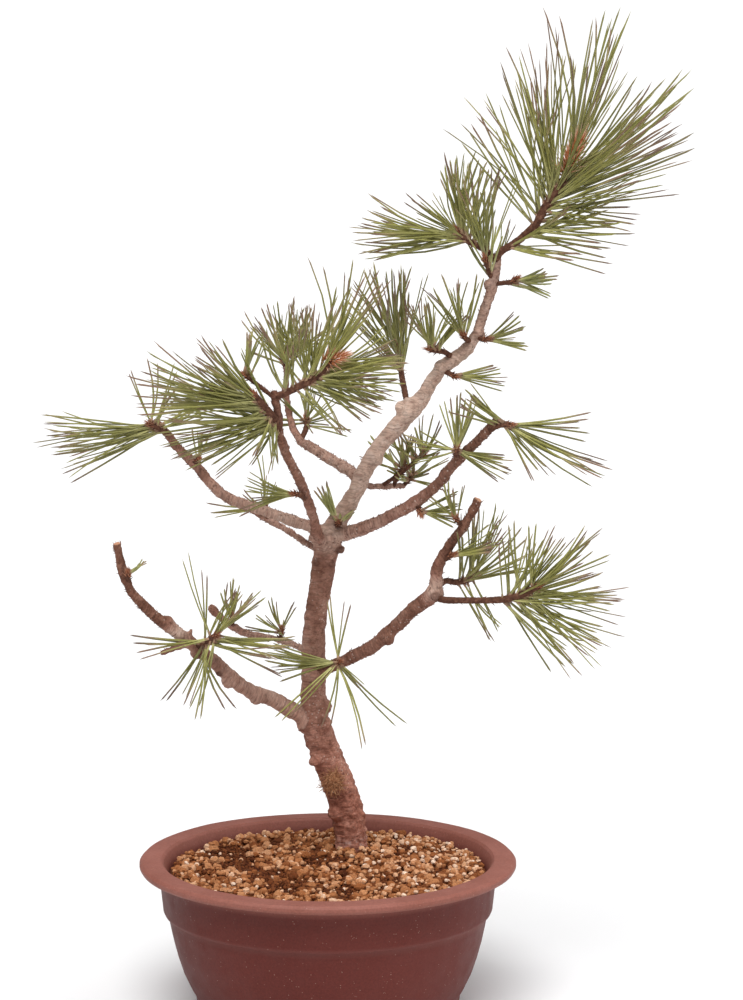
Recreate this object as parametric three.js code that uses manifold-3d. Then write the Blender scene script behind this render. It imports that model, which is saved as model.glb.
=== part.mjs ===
// A Japanese black pine kept as a bonsai in a round unglazed clay pot.
// Millimetres, +Z up, the viewer's side is -Y. The origin is the middle of the pot's base,
// on the surface that the pot stands on.
import * as THREE from 'three';
import { mergeVertices } from 'three/addons/utils/BufferGeometryUtils.js';
import Module from 'manifold-3d';

const wasm = await Module();
wasm.setup();

// ---- Driving dimensions ----------------------------------------------------------------------

const GAP = 0.3; // left between pieces that touch

const POT_SEGMENTS = 32;
const POT_HEIGHT = 102;
const LIP_RADIUS = 125;
const OPENING_RADIUS = 109;
const LIP_THICKNESS = 6;
const COLLAR_RADIUS = 111.5; // the upright band under the lip
const COLLAR_FOOT_RADIUS = 109.6;
const COLLAR_FOOT_HEIGHT = 69.2;
const FOOT_RADIUS = 87;
const FOOT_HEIGHT = 12;
const FLOOR_THICKNESS = 10;

const DRAIN_HOLE_RADIUS = 7;
const DRAIN_HOLE_RING = 48; // from the pot's axis to each hole
const DRAIN_HOLE_ANGLES = [90, 210, 330];
const CHANNEL_WIDTH = 14; // lets the water run out under the foot
const CHANNEL_DEPTH = 4;

const MESH_CELLS = 2; // squares along each side of the plastic mesh over a drain hole
const MESH_PITCH = 9;
const MESH_BAR = 2;
const MESH_SIDE = MESH_CELLS * MESH_PITCH + MESH_BAR;
const MESH_THICKNESS = 1;

const SOIL_EDGE_HEIGHT = 92.5;
const SOIL_MIDDLE_HEIGHT = 95;

const TRUNK_SIDES = 10;
const BRANCH_SIDES = 8;
const TWIG_SIDES = 5;
const ROOT_SIDES = 5;
const STUB_SIDES = 6;
// Distance from ring to ring along each kind of limb.
const TRUNK_RING = 11;
const BRANCH_RING = 11;
const STUB_RING = 8;
const TWIG_RING = 13;
const ROOT_RING = 30;
const NEEDLE_RADIUS = 1.1; // a bundle of needles at its base
const NEEDLE_CLEARANCE = 0.8; // between a needle and any other piece
const NEEDLE_SAG = 0.04; // drop of the tip, as a share of the length
const FAN_DEPTH = 1.7; // how much deeper a fan of needles is than wide
const GOLDEN_ANGLE = THREE.MathUtils.degToRad(137.5);
const UP = new THREE.Vector3(0, 0, 1);
const DEPTH = new THREE.Vector3(0, 1, 0);

// ---- The wood: points along the middle of each limb, each with the limb's radius there --------

const trunkRoute = [
  [15, 51, 80, 12], [15, 50, 100, 11], [12, 48, 124, 11.3], [6, 46, 142, 11.3], [-1, 44, 160, 10.8],
  [-7, 42, 177, 10.2], [-10, 41, 196, 8.8], [-10, 39, 219, 8.6], [-10, 37, 242, 7.9],
  [-7, 34, 269, 7.5], [-2, 31, 296, 8.1], [0, 30, 311, 9], [7, 29, 324, 6.4], [18, 27, 342, 5.4],
  [24, 26, 357, 6], [33, 24, 372, 5.7], [46, 22, 388, 5.8], [57, 20, 400, 6.3], [65, 19, 411, 4.7],
  [73, 17, 425, 4.7], [89, 15, 437, 4.6], [98, 13, 449, 3.9], [102, 12, 463, 3.4],
  [107, 10, 478, 3.5], [110, 9, 493, 2.8], [111, 7, 502, 2.6],
];

// Short pruned stubs that belong to the trunk, and the swellings where branches were cut.
const trunkStubs = [
  [[0, 30, 308, 3], [10, 28, 304, 2.5]],
  [[0, 30, 311, 3], [-13, 29, 312, 2.4]],
  [[-8, 40, 180, 5], [-3, 36, 184, 6.5]],
  [[56, 20, 398, 5], [52, 20, 406, 3.2]],
  [[-4, 32, 294, 6], [-9, 28, 297, 3.5]],
];

// Roots spread from the trunk's foot through the soil.
const ROOT_START_HEIGHT = 86;
const ROOT_RADIUS = 7;
const roots = [
  { heading: 15, reach: 44, depth: 40 },
  { heading: 95, reach: 22, depth: 36 },
  { heading: 165, reach: 62, depth: 36 },
  { heading: 225, reach: 95, depth: 50 },
  { heading: 290, reach: 100, depth: 42 },
];

const branches = [
  {
    name: 'branch_lower_left',
    route: [
      [-10, 41, 185, 6.3], [-19, 38, 190, 6], [-37, 28, 203, 5.4], [-54, 16, 212, 5.2], [-64, 9, 222, 5],
      [-75, 0, 234, 4.7], [-90, -11, 249, 4.6], [-105, -21, 263, 4.2], [-117, -27, 274, 3.8],
      [-127, -31, 287, 3.3], [-132, -33, 299, 3.1], [-135, -34, 318, 3],
    ],
    stubs: [[[-91, -12, 249, 2.6], [-109, -14, 242, 2.2]], [[-90, -11, 250, 2], [-89, -11, 258, 1.6]]],
  },
  {
    name: 'branch_lower_back',
    route: [
      [-10, 38, 233, 2.6], [-20, 48, 235, 2.4], [-34, 64, 237, 2.4], [-45, 76, 237, 2.5],
      [-57, 86, 237, 2.6], [-66, 95, 240, 2.8], [-75, 103, 245, 2.9], [-83, 110, 252, 3],
    ],
  },
  {
    name: 'branch_lower_right',
    route: [
      [-10, 40, 217, 4.5], [6, 30, 227, 4.4], [19, 23, 234, 4.4], [31, 16, 242, 4.5], [41, 9, 253, 4.5],
      [50, 3, 262, 4.6], [59, -4, 272, 4.8], [70, -10, 282, 5.6], [71, -13, 295, 4.2],
      [75, -16, 307, 3.6], [83, -19, 319, 3.4], [91, -22, 331, 3.2], [98, -24, 345, 3.2],
    ],
  },
  {
    name: 'branch_front',
    route: [
      [-1, 26, 311, 4], [-6, 10, 315, 3.8], [-9, 0, 330, 3.6], [-13, -8, 343, 3.5], [-21, -20, 364, 3.4],
      [-27, -26, 376, 3.3], [-30, -32, 390, 3.1], [-31, -38, 403, 2.9], [-33, -44, 417, 2.6],
    ],
  },
  {
    name: 'branch_long_left',
    route: [
      [-2, 33, 315, 4.2], [-15, 34, 320, 4.1], [-32, 38, 325, 4], [-46, 41, 330, 3.9],
      [-61, 44, 334, 3.8], [-72, 45, 340, 3.7], [-81, 46, 349, 3.5], [-90, 46, 360, 3.3],
      [-100, 46, 370, 3.1], [-108, 45, 381, 2.9], [-116, 45, 389, 2.8],
    ],
  },
  {
    name: 'branch_thin_left',
    route: [
      [-1, 32, 306, 2.6], [-11, 40, 304, 2.6], [-20, 46, 310, 2.4], [-30, 55, 315, 2.3],
      [-40, 62, 319, 2.3], [-55, 70, 327, 2.2],
    ],
  },
  {
    name: 'branch_right',
    route: [
      [2, 30, 312, 4.8], [12, 23, 316, 4.7], [25, 15, 321, 4.5], [38, 7, 328, 4.4], [51, -2, 336, 4.2],
      [64, -10, 346, 4], [73, -16, 355, 3.8], [82, -21, 368, 3.6], [92, -26, 378, 3.3],
      [101, -30, 388, 3.1], [109, -34, 398, 3],
    ],
  },
  {
    name: 'branch_upper_back',
    route: [
      [21, 26, 351, 4.5], [15, 34, 356, 4.4], [9, 42, 359, 4.2], [-2, 54, 364, 4], [-11, 66, 368, 3.6],
      [-20, 76, 372, 3.2], [-26, 84, 384, 2.6], [-29, 90, 401, 2.3], [-29, 94, 421, 2],
    ],
  },
  {
    name: 'branch_thin_right',
    route: [[21, 27, 350, 2.4], [28, 34, 346, 2.3], [37, 42, 345, 2.2], [51, 52, 344, 2.1]],
  },
];

// ---- The needled shoots ------------------------------------------------------------------------
// Each starts inside the limb that it grows from. A fan is a group of needles that leave together:
// how many pairs, the shares of the twig that they start and end at, their length, half the angle
// that the fan opens to, in degrees, and the way it points. Here one spike stands for two pairs.

const shoots = [
  {
    name: 'shoot_top',
    twig: [
      [110, 8, 496, 2.4], [112, 6, 503, 2.4], [122, 4, 509, 2.4], [135, 0, 521, 2.6],
      [141, -4, 533, 2.8], [147, -6, 541, 2.8], [152, -9, 550, 2.4], [160, -12, 571, 1.6],
    ],
    fans: [
      [22, 0.2, 0.6, 68, 26, [1, -0.1, 0.1]], [28, 0.5, 0.92, 98, 21, [0.88, -0.1, 0.6]],
      [28, 0.6, 0.98, 102, 27, [0.22, 0, 1]], [20, 0.4, 0.8, 88, 20, [-0.28, 0.1, 1]],
    ],
  },
  {
    name: 'shoot_top_left',
    twig: [[110, 8, 497, 2], [103, 9, 504, 2.2], [90, 13, 511, 2.2], [85, 15, 517, 1.8]],
    fans: [
      [20, 0.6, 0.98, 69, 14, [-1, 0, 0.03]], [26, 0.2, 0.95, 59, 27, [-0.02, 0, 1]],
      [8, 0.6, 0.98, 40, 24, [-0.8, 0, 0.6]],
    ],
  },
  {
    name: 'young_shoot_left',
    twig: [[108, 10, 484, 1.6], [104, 4, 494, 1.6], [102, 1, 500, 1.2]],
    fans: [[14, 0.05, 0.7, 38, 32, [-0.05, 0, 1]]],
  },
  {
    name: 'young_shoot_right',
    twig: [[108, 10, 482, 1.6], [120, 3, 484, 1.6], [123, 1, 486, 1.2]],
    fans: [[13, 0.3, 0.95, 28, 32, [1, 0, 0.05]]],
  },
  {
    name: 'tuft_leader_left',
    twig: [[94, 14, 444, 1.8], [90, 6, 447, 1.7], [88, 3, 450, 1.4]],
    fans: [[10, 0.5, 0.98, 42, 30, [-0.25, 0, 1]]],
  },
  {
    name: 'tuft_leader_right',
    twig: [[97, 13, 448, 1.6], [102, 5, 446, 1.6], [105, 3, 447, 1.3]],
    fans: [[8, 0.6, 0.98, 28, 26, [1, 0, 0.35]]],
  },
  {
    name: 'tuft_leader_low_right',
    twig: [[74, 17, 426, 1.8], [81, 9, 423, 1.7], [84, 6, 422, 1.3]],
    fans: [[8, 0.6, 0.98, 34, 18, [1, 0, 0.03]]],
  },
  {
    name: 'tuft_leader_low_left',
    twig: [[83, 16, 433, 1.8], [76, 9, 438, 1.8], [70, 6, 439, 1.8], [66, 5, 440, 1.4]],
    fans: [[15, 0.5, 0.98, 36, 44, [-0.05, 0, 1]]],
  },
  {
    name: 'shoot_back',
    twig: [[53, 21, 400, 2], [49, 46, 419, 2], [47, 66, 440, 1.7]],
    fans: [[34, 0.5, 0.98, 63, 33, [-0.3, 0, 1]]],
  },
  {
    name: 'shoot_lower_left',
    twig: [[-86, -7, 246, 2.2], [-82, -14, 248, 2.2], [-71, -26, 257, 1.8]],
    fans: [
      [9, 0.7, 0.98, 43, 16, [0.65, 0, 0.9]], [2, 0.5, 0.9, 55, 18, [-0.12, 0, 1]],
      [3, 0.5, 0.9, 50, 17, [-1, 0, 0.05]], [6, 0.5, 0.95, 53, 24, [-0.25, 0, -1]],
      [8, 0.6, 0.98, 54, 16, [1, 0, -0.15]],
    ],
  },
  {
    name: 'bud_lower_left',
    twig: [[-128, -31, 290, 1.5], [-128, -38, 300, 1.4]],
    fans: [[3, 0.8, 0.98, 14, 20, [0.9, 0, 0.5]]],
  },
  {
    name: 'bud_lower_back',
    twig: [[-33, 64, 237, 1.5], [-32, 60, 245, 1.3]],
    fans: [[9, 0.6, 0.98, 25, 75, [-0.1, 0, 0.6]]],
  },
  {
    name: 'bud_lower_back_end',
    twig: [[-67, 95, 240, 1.5], [-67, 91, 249, 1.3]],
    fans: [[8, 0.6, 0.98, 25, 50, [0.1, 0, 1]]],
  },
  {
    name: 'shoot_lower_right_short',
    twig: [[72, -10, 285, 2], [77, -6, 289, 2], [84, 0, 287, 2], [92, 8, 287, 2.1], [99, 14, 289, 1.8]],
    fans: [
      [12, 0.55, 0.98, 51, 25, [0.3, 0, 1]], [7, 0.6, 0.98, 48, 18, [0.85, 0, 0.4]],
      [4, 0.5, 0.9, 46, 9, [0.45, 0, -0.9]],
    ],
  },
  {
    name: 'shoot_lower_right_long',
    twig: [
      [71, -12, 279, 2.4], [77, -17, 278, 2.2], [90, -24, 279, 2.1], [103, -30, 280, 2.1],
      [117, -36, 282, 2.4], [127, -40, 286, 2.4], [137, -44, 292, 1.9],
    ],
    fans: [
      [12, 0.6, 0.95, 47, 25, [0.15, 0, 1]], [12, 0.7, 0.98, 56, 17, [0.8, 0, 0.6]],
      [12, 0.65, 0.98, 65, 17, [1, 0, -0.12]], [12, 0.6, 0.9, 69, 15, [0.65, 0, -0.6]],
    ],
  },
  {
    name: 'bud_lower_right',
    twig: [[76, -16, 304, 1.6], [82, -22, 309, 1.5]],
    fans: [[8, 0.7, 0.98, 33, 22, [0.9, 0, 0.35]]],
  },
  {
    name: 'bud_lower_right_end',
    twig: [[88, -21, 326, 1.6], [83, -27, 334, 1.4]],
    fans: [[6, 0.7, 0.98, 24, 28, [-0.3, 0, 1]]],
  },
  {
    name: 'shoot_trunk_front',
    twig: [[-9, 37, 222, 2.2], [0, 20, 228, 2.2], [8, 6, 233, 2]],
    fans: [
      [2, 0.85, 0.98, 43, 12, [0, 0, 1]], [2, 0.85, 0.98, 68, 6, [0.6, 0, -0.85]],
      [2, 0.85, 0.98, 26, 14, [0.7, 0, -0.7]], [1, 0.9, 0.98, 48, 4, [0, 0, -1]],
      [2, 0.85, 0.98, 56, 12, [-0.65, 0, -0.8]], [8, 0.7, 0.98, 47, 13, [-1, 0, 0.08]],
    ],
  },
  {
    name: 'shoot_front_side',
    twig: [[-14, -8, 343, 1.8], [-17, -18, 347, 1.8], [-22, -24, 349, 1.5]],
    fans: [[8, 0.6, 0.98, 38, 26, [-1, 0, 0.1]]],
  },
  {
    name: 'shoot_front_left',
    twig: [[-30, -33, 391, 2.2], [-33, -42, 400, 2.2], [-40, -48, 409, 2.2], [-46, -52, 417, 1.8]],
    fans: [
      [40, 0.05, 0.98, 80, 21, [-1, 0, 0.14]], [16, 0.2, 0.98, 56, 22, [-0.75, 0, 0.65]],
      [9, 0.05, 0.6, 64, 14, [-0.9, 0, -0.35]], [7, 0.05, 0.5, 34, 32, [-0.2, 0, -1]],
    ],
  },
  {
    name: 'shoot_front_right',
    twig: [
      [-33, -43, 414, 2.2], [-26, -46, 416, 2.4], [-15, -48, 422, 2.4], [-8, -49, 425, 2.4],
      [-2, -50, 431, 2.2], [4, -52, 438, 1.5],
    ],
    fans: [
      [24, 0.45, 0.98, 56, 22, [1, 0, 0.15]], [20, 0.4, 0.98, 67, 18, [0.42, 0, 1]],
      [16, 0.15, 0.7, 48, 30, [-0.2, 0, 1]], [15, 0.3, 0.95, 48, 22, [0.8, 0, -0.5]],
    ],
  },
  {
    name: 'bud_front_young',
    twig: [[-33, -43, 413, 1.4], [-43, -36, 420, 1.4], [-53, -32, 427, 1.2]],
    fans: [[6, 0.8, 0.98, 30, 16, [0.2, 0, 1]]],
  },
  {
    name: 'shoot_left_end',
    twig: [[-106, 46, 378, 2], [-112, 41, 384, 2.2], [-119, 37, 388, 1.9]],
    fans: [
      [12, 0.35, 0.98, 80, 12, [-1, 0, -0.08]], [7, 0.3, 0.7, 72, 12, [-0.95, 0, -0.3]],
      [5, 0.5, 0.98, 48, 26, [0.4, 0, 1]], [1, 0.8, 0.98, 40, 4, [-0.45, 0, 0.9]],
      [4, 0.35, 0.7, 34, 22, [0.8, 0, 0.3]],
    ],
  },
  {
    name: 'bud_left_middle',
    twig: [[-90, 46, 360, 1.5], [-86, 37, 364, 1.3]],
    fans: [[4, 0.7, 0.98, 22, 24, [0.3, 0, 1]]],
  },
  {
    name: 'bud_thin_left',
    twig: [[-41, 62, 319, 1.5], [-43, 60, 331, 1.4]],
    fans: [
      [2, 0.7, 0.98, 40, 6, [-1, 0, -0.1]], [2, 0.7, 0.98, 21, 10, [-0.9, 0, 0.3]],
      [1, 0.8, 0.98, 40, 4, [0, 0, 1]], [4, 0.7, 0.98, 22, 34, [0.2, 0, 1]],
    ],
  },
  {
    name: 'shoot_right_end',
    twig: [[103, -31, 390, 2], [110, -38, 395, 2.2], [118, -42, 396, 1.8]],
    fans: [
      [4, 0.75, 0.98, 57, 8, [1, 0, 0.05]], [5, 0.7, 0.98, 74, 11, [0.88, 0, -0.45]],
      [3, 0.6, 0.95, 44, 12, [0.6, 0, -0.8]], [7, 0.4, 0.9, 33, 20, [-0.75, 0, 0.6]],
    ],
  },
  {
    name: 'shoot_right_middle',
    twig: [[84, -22, 370, 1.8], [83, -32, 376, 1.8], [84, -35, 380, 1.5]],
    fans: [
      [8, 0.7, 0.98, 38, 28, [0.1, 0, 1]], [6, 0.6, 0.95, 38, 17, [0.95, 0, -0.35]],
      [5, 0.6, 0.95, 34, 28, [-0.9, 0, 0.15]],
    ],
  },
  {
    name: 'bud_right_under',
    twig: [[58, -6, 341, 1.6], [61, -12, 334, 1.4]],
    fans: [[7, 0.7, 0.98, 28, 24, [1, 0, 0.15]]],
  },
  {
    name: 'shoot_upper_back_low',
    twig: [[-19, 75, 372, 2], [-15, 84, 381, 1.8], [-16, 88, 386, 1.5]],
    fans: [[13, 0.5, 0.98, 36, 75, [0.1, 0, 0.3]], [3, 0.6, 0.95, 50, 5, [-1, 0, 0.05]]],
  },
  {
    name: 'shoot_upper_back_left',
    twig: [[-29, 93, 416, 1.5], [-32, 96, 428, 1.4]],
    fans: [[18, 0.5, 0.98, 42, 48, [-0.2, 0, 1]]],
  },
  {
    name: 'shoot_upper_back_right',
    twig: [[-29, 94, 417, 1.3], [-22, 98, 431, 1.2]],
    fans: [[16, 0.5, 0.98, 38, 46, [0.3, 0, 1]]],
  },
  {
    name: 'tuft_thin_right_end',
    twig: [[50, 51, 344, 1.6], [57, 54, 351, 1.4]],
    fans: [[12, 0.5, 0.98, 30, 75, [0.2, 0, 0.6]]],
  },
  {
    name: 'tuft_thin_right_middle',
    twig: [[43, 46, 344, 1.4], [47, 44, 352, 1.4], [51, 46, 360, 1.2]],
    fans: [[11, 0.6, 0.98, 31, 60, [-0.2, 0, 0.8]]],
  },
  {
    name: 'tuft_thin_right_top',
    twig: [[35, 41, 345, 1.4], [50, 36, 356, 1.4], [65, 34, 369, 1.2]],
    fans: [[10, 0.75, 0.98, 28, 60, [0, 0, 1]]],
  },
  {
    name: 'tuft_fork',
    twig: [[5, 29, 320, 1.8], [7, 18, 323, 1.8], [7, 12, 325, 1.4]],
    fans: [[4, 0.7, 0.98, 29, 18, [-0.35, 0, 1]], [6, 0.55, 0.98, 17, 60, [0.1, 0, 0.8]]],
  },
];

// ---- Materials -------------------------------------------------------------------------------

const material = (color, roughness, metalness = 0) =>
  new THREE.MeshStandardMaterial({ color, roughness, metalness });

const looks = {
  clay: () => material(0x6b3a34, 0.75),
  soil: () => material(0x9a6f4c, 0.95),
  bark: () => material(0x8d6f66, 0.85),
  needles: () => material(0x6f7c3c, 0.5),
  moss: () => material(0x8a7a3c, 0.95),
  plasticMesh: () => material(0x23262a, 0.5),
};

// ---- Solids ----------------------------------------------------------------------------------

function toSolid(geometry) {
  const bare = new THREE.BufferGeometry();
  bare.setAttribute('position', geometry.getAttribute('position').clone());
  bare.setIndex(geometry.getIndex());
  const merged = mergeVertices(bare, 1e-4);
  return new wasm.Manifold(new wasm.Mesh({
    numProp: 3,
    vertProperties: new Float32Array(merged.getAttribute('position').array),
    triVerts: new Uint32Array(merged.getIndex().array),
  }));
}

function toGeometry(solid) {
  const { vertProperties, triVerts } = solid.getMesh();
  const geometry = new THREE.BufferGeometry();
  geometry.setAttribute('position', new THREE.BufferAttribute(new Float32Array(vertProperties), 3));
  geometry.setIndex(new THREE.BufferAttribute(new Uint32Array(triVerts), 1));
  geometry.computeVertexNormals();
  return geometry;
}

// Cutting can leave loose crumbs, and a piece is only its biggest part.
function biggestPart(solid) {
  return solid.decompose().reduce((big, part) => (part.volume() > big.volume() ? part : big));
}

const joined = (solids) => solids.reduce((all, solid) => all.add(solid));

const toVector = ([x, y, z]) => new THREE.Vector3(x, y, z);

// A smooth curve through a route's points, with a radius that follows the points' radii.
function limbLine(route) {
  const curve = new THREE.CatmullRomCurve3(route.map(toVector), false, 'centripetal');
  const radiusAt = (u) => {
    const place = curve.getUtoTmapping(u) * (route.length - 1);
    const before = Math.min(Math.floor(place), route.length - 2);
    return THREE.MathUtils.lerp(route[before][3], route[before + 1][3], place - before);
  };
  return { curve, radiusAt };
}

// A closed tube along a route, each ring at the limb's own radius plus the allowance.
function limb(route, sides, ringSpacing, allowance = 0) {
  const { curve, radiusAt } = limbLine(route);
  const spans = Math.max(1, Math.round(curve.getLength() / ringSpacing));
  const { normals, binormals } = curve.computeFrenetFrames(spans);
  const corners = [];
  for (let ring = 0; ring <= spans; ring++) {
    const centre = curve.getPointAt(ring / spans);
    const radius = radiusAt(ring / spans) + allowance;
    for (let side = 0; side < sides; side++) {
      const turn = (2 * Math.PI * side) / sides;
      corners.push(centre.clone()
        .addScaledVector(normals[ring], radius * Math.cos(turn))
        .addScaledVector(binormals[ring], radius * Math.sin(turn)));
    }
  }
  const endPush = 0.35 * radiusAt(1) + allowance;
  const startPush = 0.35 * radiusAt(0) + allowance;
  corners.push(curve.getPointAt(0).addScaledVector(curve.getTangentAt(0), -startPush));
  corners.push(curve.getPointAt(1).addScaledVector(curve.getTangentAt(1), endPush));
  const first = corners.length - 2;
  const last = corners.length - 1;
  const faces = [];
  for (let side = 0; side < sides; side++) {
    const next = (side + 1) % sides;
    for (let ring = 0; ring < spans; ring++) {
      const low = ring * sides;
      const high = low + sides;
      faces.push(low + side, low + next, high + next, low + side, high + next, high + side);
    }
    faces.push(first, next, side, last, spans * sides + side, spans * sides + next);
  }
  return toSolid(closedGeometry(corners, faces));
}

function closedGeometry(corners, faces) {
  const geometry = new THREE.BufferGeometry().setFromPoints(corners);
  geometry.setIndex(faces);
  return geometry;
}

// ---- Pot, drain meshes and soil ----------------------------------------------------------------

const lathe = (profile, segments) =>
  toSolid(new THREE.LatheGeometry(profile.map(([r, z]) => new THREE.Vector2(r, z)), segments)
    .rotateX(Math.PI / 2));

const onDrainRing = (angle, z) => {
  const turn = THREE.MathUtils.degToRad(angle);
  return new THREE.Vector3(DRAIN_HOLE_RING * Math.cos(turn), DRAIN_HOLE_RING * Math.sin(turn), z);
};

function potBlank() {
  const lipBottom = POT_HEIGHT - LIP_THICKNESS;
  return lathe([
    [0, 0], [FOOT_RADIUS - 1, 0], [FOOT_RADIUS, 1.2], [FOOT_RADIUS + 1.4, FOOT_HEIGHT - 1],
    [91.3, 16], [96.4, 27], [100, 38], [102.4, 47], [104.6, 57], [106.6, 67.2],
    [COLLAR_FOOT_RADIUS - 0.7, 67.6], [COLLAR_FOOT_RADIUS, COLLAR_FOOT_HEIGHT],
    [COLLAR_FOOT_RADIUS + 0.2, 71.5], [COLLAR_RADIUS, 89], [113.4, lipBottom - 1.8],
    [119, lipBottom], [LIP_RADIUS - 1, lipBottom + 0.6], [LIP_RADIUS, lipBottom + 2.2],
    [LIP_RADIUS, POT_HEIGHT - 1.8], [LIP_RADIUS - 1.8, POT_HEIGHT],
    [OPENING_RADIUS + 1.6, POT_HEIGHT], [OPENING_RADIUS, POT_HEIGHT - 1.6], [106, 94], [104, 86],
    [101.5, 62], [93.5, 38], [85, 19], [76, FLOOR_THICKNESS + 1.5], [66, FLOOR_THICKNESS],
    [0, FLOOR_THICKNESS],
  ], POT_SEGMENTS);
}

function drainCutter(angle) {
  const hole = new THREE.CylinderGeometry(DRAIN_HOLE_RADIUS, DRAIN_HOLE_RADIUS, 3 * FLOOR_THICKNESS, 16);
  hole.rotateX(Math.PI / 2).translate(...onDrainRing(angle, 0).toArray());
  const channelLength = LIP_RADIUS - DRAIN_HOLE_RING;
  const channel = new THREE.BoxGeometry(channelLength, CHANNEL_WIDTH, 2 * CHANNEL_DEPTH);
  channel.translate(DRAIN_HOLE_RING + channelLength / 2, 0, 0);
  channel.rotateZ(THREE.MathUtils.degToRad(angle));
  return toSolid(hole).add(toSolid(channel));
}

function pot() {
  return DRAIN_HOLE_ANGLES.reduce((body, angle) => body.subtract(drainCutter(angle)), potBlank());
}

// A square grid of plastic bars, laid over the drain hole.
function drainMesh(angle) {
  const bars = [];
  for (let line = 0; line <= MESH_CELLS; line++) {
    const offset = line * MESH_PITCH - (MESH_CELLS * MESH_PITCH) / 2;
    bars.push(new THREE.BoxGeometry(MESH_SIDE, MESH_BAR, MESH_THICKNESS).translate(0, offset, 0));
    bars.push(new THREE.BoxGeometry(MESH_BAR, MESH_SIDE, MESH_THICKNESS).translate(offset, 0, 0));
  }
  const middle = onDrainRing(angle, FLOOR_THICKNESS + GAP + MESH_THICKNESS / 2);
  return joined(bars.map((bar) => toSolid(bar.translate(...middle.toArray()))));
}

function drainMeshPocket(angle) {
  const side = MESH_SIDE + 2 * GAP;
  const height = MESH_THICKNESS + 2 * GAP;
  const pocket = new THREE.BoxGeometry(side, side, 2 * height);
  return toSolid(pocket.translate(...onDrainRing(angle, FLOOR_THICKNESS).toArray()));
}

function rootRoute({ heading, reach, depth }) {
  const turn = THREE.MathUtils.degToRad(heading);
  const [x, y] = trunkRoute[0];
  return [0, 0.25, 0.6, 1].map((share) => [
    x + share * reach * Math.cos(turn),
    y + share * reach * Math.sin(turn) * 0.9,
    ROOT_START_HEIGHT - depth * share ** 0.7,
    ROOT_RADIUS * (1 - 0.75 * share),
  ]);
}

function trunk(allowance = 0) {
  const stem = limb(trunkRoute, TRUNK_SIDES, TRUNK_RING, allowance);
  const stubs = trunkStubs.map((route) => limb(route, STUB_SIDES, STUB_RING, allowance));
  const rootLimbs = roots.map((root) => limb(rootRoute(root), ROOT_SIDES, ROOT_RING, allowance));
  return joined([stem, ...stubs, ...rootLimbs]);
}

function soil() {
  const heap = lathe([
    [0, FLOOR_THICKNESS + GAP], [65.5, FLOOR_THICKNESS + GAP], [75.5, FLOOR_THICKNESS + 2],
    [84.4, 19.4], [93.1, 38.2], [101.1, 62.2], [103.6, 86.1], [105, SOIL_EDGE_HEIGHT],
    [70, SOIL_EDGE_HEIGHT + 1.2], [0, SOIL_MIDDLE_HEIGHT],
  ], POT_SEGMENTS);
  const withPockets = DRAIN_HOLE_ANGLES.reduce(
    (body, angle) => body.subtract(drainMeshPocket(angle)), heap);
  return withPockets.subtract(trunk(GAP));
}

// A cushion of old fibres and moss on the trunk's front, above the soil.
function mossTuft() {
  const tuft = new THREE.SphereGeometry(1, 12, 8).scale(7, 6, 8).translate(3, 37, 146);
  return biggestPart(toSolid(tuft).subtract(trunk(GAP)));
}

// ---- Branches and shoots -------------------------------------------------------------------------

function branchSolid({ route, stubs = [] }, allowance = 0) {
  const wood = [limb(route, BRANCH_SIDES, BRANCH_RING, allowance)];
  stubs.forEach((stub) => wood.push(limb(stub, STUB_SIDES, STUB_RING, allowance)));
  return joined(wood);
}

// Balls along the wood, for telling how near a needle comes to it.
function woodBalls(owner, route) {
  const { curve, radiusAt } = limbLine(route);
  const count = Math.ceil(curve.getLength() / 2.5);
  return Array.from({ length: count + 1 }, (_, index) => ({
    owner,
    centre: curve.getPointAt(index / count),
    radius: radiusAt(index / count),
  }));
}

// The shortest distance between the straight stretches a-b and c-d.
function distanceBetween([a, b], [c, d]) {
  const u = b.clone().sub(a);
  const v = d.clone().sub(c);
  const w = a.clone().sub(c);
  const uu = u.dot(u);
  const uv = u.dot(v);
  const vv = v.dot(v);
  const spread = uu * vv - uv * uv;
  let s = spread > 1e-9 ? (uv * v.dot(w) - vv * u.dot(w)) / spread : 0;
  s = THREE.MathUtils.clamp(s, 0, 1);
  const t = THREE.MathUtils.clamp((uv * s + v.dot(w)) / vv, 0, 1);
  s = THREE.MathUtils.clamp((uv * t - u.dot(w)) / uu, 0, 1);
  return a.clone().addScaledVector(u, s).distanceTo(c.clone().addScaledVector(v, t));
}

function isClear([base, tip], owner, balls, otherNeedles) {
  const line = new THREE.Line3(base, tip);
  const nearest = new THREE.Vector3();
  const clearOfWood = balls.every(({ owner: wood, centre, radius }) => {
    line.closestPointToPoint(centre, true, nearest);
    return wood === owner || nearest.distanceTo(centre) > radius + NEEDLE_RADIUS + NEEDLE_CLEARANCE;
  });
  const clearOfNeedles = otherNeedles.every(({ owner: shoot, line: other }) =>
    shoot === owner || distanceBetween([base, tip], other) > 2 * NEEDLE_RADIUS + NEEDLE_CLEARANCE);
  return clearOfWood && clearOfNeedles && tip.z > POT_HEIGHT + NEEDLE_CLEARANCE;
}

// One needle of a fan: from the middle of the twig to its tip, sagging a little under its weight.
// The outer needles of a fan start lower on the twig, and a fan is deeper than it is wide.
function needleLine(curve, fan, share, turn) {
  const [, start, end, length, opening, aim] = fan;
  const heading = toVector(aim).normalize();
  const side = new THREE.Vector3().crossVectors(heading, DEPTH).normalize();
  side.applyAxisAngle(heading, turn);
  side.y *= FAN_DEPTH;
  const open = THREE.MathUtils.degToRad(opening * Math.sqrt(share));
  heading.multiplyScalar(Math.cos(open)).addScaledVector(side, Math.sin(open)).normalize();
  const reach = length * (0.95 + 0.05 * Math.sin(turn * 3));
  const base = curve.getPointAt(THREE.MathUtils.lerp(end, start, share));
  const tip = base.clone().addScaledVector(heading, reach).addScaledVector(UP, -NEEDLE_SAG * reach);
  return [base, tip];
}

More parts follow.
